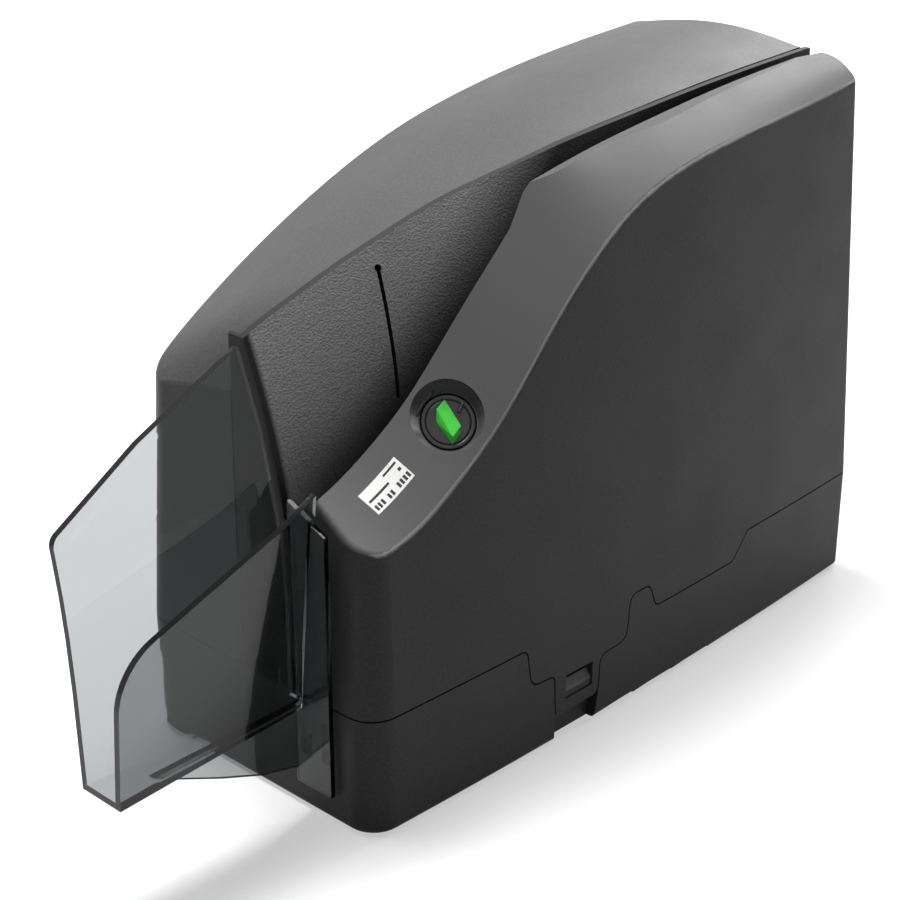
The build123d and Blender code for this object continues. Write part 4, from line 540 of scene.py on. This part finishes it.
# dark bars of the sign as shares of the sticker: along from, along to, across from, across to
LABEL_BARS = ((0.60, 0.945, 0.12, 0.20), (0.05, 0.585, 0.42, 0.51), (0.87, 0.935, 0.37, 0.49),
              (0.053, 0.107, 0.68, 0.90), (0.135, 0.189, 0.68, 0.90), (0.224, 0.278, 0.68, 0.90),
              (0.386, 0.440, 0.70, 0.91), (0.475, 0.529, 0.70, 0.91),
              (0.658, 0.712, 0.68, 0.90), (0.743, 0.797, 0.68, 0.90), (0.829, 0.883, 0.68, 0.90),
              (0.914, 0.968, 0.68, 0.90))
BAR_ALONG, BAR_ACROSS = 7, 4             # points of each bar


def label_terms(x, y):
    """Products of powers of a place in plan: one, x, y, their squares and product, and the cube of x."""
    x, y = x - LABEL_MIDDLE[0], y - LABEL_MIDDLE[1]
    return np.stack((np.ones_like(x), x, y, x * x, x * y, y * y, x ** 3), axis=-1)


def label_bars():
    """Bars of a cheque sign: bilinear patches between the sticker's corners in plan, at a height that is a
    polynomial of the plan fitted to the sticker's own face, lifted by the thickness of ink."""
    shift = np.array(FRAME_SHIFT)
    film = rows(frame["nodes"]["pictogram_label"].data.vertices, "co", 3) / MM - shift / MM
    height = np.linalg.lstsq(label_terms(film[:, 0], film[:, 1]), film[:, 2], rcond=None)[0]
    far_tray, far_entry, near_entry, near_tray = LABEL_CORNERS
    points, faces = [], []
    for along_0, along_1, across_0, across_1 in LABEL_BARS:
        u, v = np.meshgrid(np.linspace(along_0, along_1, BAR_ALONG),
                           np.linspace(across_0, across_1, BAR_ACROSS), indexing="ij")
        u, v = u[..., None], v[..., None]
        plan = (far_tray * (1 - u) + far_entry * u) * (1 - v) + (near_tray * (1 - u) + near_entry * u) * v
        z = label_terms(plan[..., 0], plan[..., 1]) @ height + 0.5 * LABEL_T + INK_T
        faces.append(grid_faces(BAR_ALONG, BAR_ACROSS) + BAR_ALONG * BAR_ACROSS * len(points))
        points.append(np.concatenate((plan, z[..., None]), axis=-1).reshape(-1, 3) * MM + shift)
    bars = piece("cheque_sign", np.concatenate(points), np.concatenate(faces), MATERIALS["ink"], "door")


# ---------------------------------------------------------------- clear tray
TRAY_T = 2.0
TRAY_ROOT_X = -85.5        # the leaves' rims lie beyond this, towards the tray end
TRAY_FLOOR_TOP = 36.5      # height under which the floor lies
FAR_LEAF_Y = -20.0         # the far leaf lies beyond this, the flange and the near leaf short of it
LEAF_FACES_Y = 0.7         # how squarely a leaf's faces look along Y, as a share
RIM_FACES_Y = 0.5          # how squarely a rim's faces look along Y at most
FLOOR_FACES_Z = 0.95       # how squarely the floor's faces look along Z
ROOT_FACES_X = 0.9         # how squarely the far leaf's root looks along X
SLOPE_STEP = 0.01          # distance over which a slope is taken


def leaf_terms(x, z):
    """Products of powers of length and height in decimetres, up to length squared and height to the fifth."""
    x, z = x / 100, z / 100
    return np.stack([x ** i * z ** j for i in range(3) for j in range(6)], axis=-1)


def smooth_leaf(mesh, normal, centre):
    """Lays the far leaf's two faces on one smooth surface, a wall apart: depth is a polynomial of length and
    height, fitted by least squares to both faces. They are shaded by its slopes, and all other faces flat."""
    place = rows(mesh.vertices, "co", 3) / MM
    corner = rows(mesh.loops, "vertex_index", 1, np.int64).reshape(-1, 3)
    leaf = ((centre[:, 1] > FAR_LEAF_Y) & (centre[:, 2] > TRAY_FLOOR_TOP)
            & (np.abs(normal[:, 1]) > LEAF_FACES_Y))
    inner = np.unique(corner[leaf & (normal[:, 1] < 0)])
    outer = np.unique(corner[leaf & (normal[:, 1] > 0)])
    side = np.concatenate((inner, outer))
    x, z = place[side, 0], place[side, 2]
    seen = np.concatenate((place[inner, 1], place[outer, 1] - TRAY_T))
    shape = np.linalg.lstsq(leaf_terms(x, z), seen, rcond=None)[0]
    depth = leaf_terms(x, z) @ shape
    place[side, 1] = depth
    place[outer, 1] += TRAY_T
    mesh.vertices.foreach_set("co", (place * MM).ravel())

    across = (leaf_terms(x + SLOPE_STEP, z) @ shape - depth) / SLOPE_STEP
    upward = (leaf_terms(x, z + SLOPE_STEP) @ shape - depth) / SLOPE_STEP
    facing = np.zeros((len(place), 3))
    facing[side] = np.stack((across, np.full(len(side), -1.0), upward), axis=1)
    facing /= np.maximum(np.linalg.norm(facing, axis=1, keepdims=True), 1e-9)
    outwards = np.where(normal[:, 1] > 0, -1.0, 1.0)
    shading = np.where(leaf[:, None, None], facing[corner] * outwards[:, None, None], normal[:, None, :])
    mesh.polygons.foreach_set("use_smooth", leaf)
    mesh.normals_split_custom_set(shading.reshape(-1, 3).tolist())


def clear_tray():
    """The tray, a joined copy of its CAD node with a smooth far leaf. The dark finish is on the far leaf's root
    and on the rims, which are the faces beyond the root that are neither a wall's nor the floor's."""
    tray = merged("exit_tray", "smoked_tray", "tray")
    tray.data.materials.append(MATERIALS["smoked_rim"])
    mesh = tray.data
    normal = rows(mesh.polygons, "normal", 3)
    centre = rows(mesh.polygons, "center", 3) / MM
    smooth_leaf(mesh, normal, centre)
    floor = (np.abs(normal[:, 2]) > FLOOR_FACES_Z) & (centre[:, 2] < TRAY_FLOOR_TOP)
    rim = (np.abs(normal[:, 1]) < RIM_FACES_Y) & (centre[:, 0] < TRAY_ROOT_X) & ~floor
    root = ((normal[:, 0] > ROOT_FACES_X) & (centre[:, 1] > FAR_LEAF_Y)
            & (centre[:, 2] > TRAY_FLOOR_TOP))
    mesh.polygons.foreach_set("material_index", (rim | root).astype(np.int32))


# ---------------------------------------------------------------- stage and light
PAPER_BOUNCE = "747474"                  # the paper to the object's own light, which keeps its sides dark
PAPER_SEEN = "B4B4B4"                    # the paper where it is seen, before its lift to white
FLOOR_LIFT = 0.52
FLOOR_NEAR, FLOOR_FAR = 0.4, 1.0         # metres from the middle, between which the paper turns fully white
FLOOR_HALF = 4.0                         # metres
WORLD_FILL = 0.06
LAMPS_AIM = Vector((0.03, 0.0, 0.09))    # metres
# square soft lamps: place in metres, width and height in metres, watts
LAMPS = {"overhead": ((-0.05, 0.30, 1.30), (0.6, 0.5), 31.0),
         "behind_right": ((1.00, 0.16, 1.00), (0.9, 0.9), 16.0)}


def paper_white():
    """Seamless paper: a mid tone to the object's own light, and white with a soft shadow where it is seen."""
    material, tree, output, place = blank("white_paper")
    seen = seen_directly(tree)
    tone = add(tree, "Mix", {"Factor": seen, "A": linear(PAPER_BOUNCE), "B": linear(PAPER_SEEN)},
               data_type="RGBA")
    paper = add(tree, "BsdfDiffuse", {"Color": tone.outputs["Result"]})
    away = add(tree, "VectorMath", {0: place}, operation="LENGTH")
    glow = add(tree, "MapRange", {"Value": away.outputs["Value"], "From Min": FLOOR_NEAR,
                                  "From Max": FLOOR_FAR, "To Min": FLOOR_LIFT, "To Max": 1.0})
    where_seen = add(tree, "Math", {0: seen, 1: glow.outputs[0]}, operation="MULTIPLY")
    lift = add(tree, "Emission", {"Color": (1, 1, 1, 1), "Strength": where_seen.outputs[0]})
    both = add(tree, "AddShader", {0: paper.outputs[0], 1: lift.outputs[0]})
    finish_with(tree, output, both)
    return material


def make_floor():
    """One wide square of paper under the object."""
    data = bpy.data.meshes.new("floor")
    corners = FLOOR_HALF * np.array([(-1, -1, 0), (1, -1, 0), (1, 1, 0), (-1, 1, 0)])
    data.from_pydata(corners.tolist(), [], [(0, 1, 2, 3)])
    data.materials.append(paper_white())
    in_scene("floor", data)


def softbox(name, at, size, watts):
    """Area lamp at one place that faces the object."""
    data = bpy.data.lights.new(name, "AREA")
    data.shape = "RECTANGLE"
    data.size, data.size_y = size
    data.energy = watts
    way = Vector(at) - LAMPS_AIM
    in_scene(name, data).matrix_world = (Matrix.Translation(at)
                                         @ way.to_track_quat("Z", "Y").to_matrix().to_4x4())


def make_light():
    """A world that is white where it is seen and a faint fill otherwise, and the lamps."""
    world = bpy.data.worlds.new("studio")
    bpy.context.scene.world = world
    world.use_nodes = True
    tree = world.node_tree
    tree.nodes.clear()
    strength = add(tree, "MapRange", {"Value": seen_directly(tree), "To Min": WORLD_FILL, "To Max": 1.0})
    back = add(tree, "Background", {"Color": (1, 1, 1, 1), "Strength": strength.outputs[0]})
    finish_with(tree, add(tree, "OutputWorld"), back)
    for name, (at, size, watts) in LAMPS.items():
        softbox(name, at, size, watts)


make_camera()
dress_nodes()
start_disc()
pointer_rib()
start_crystal()
label_bars()
clear_tray()
start_washer()
make_floor()
make_light()
bpy.context.scene.view_settings.view_transform = "Standard"
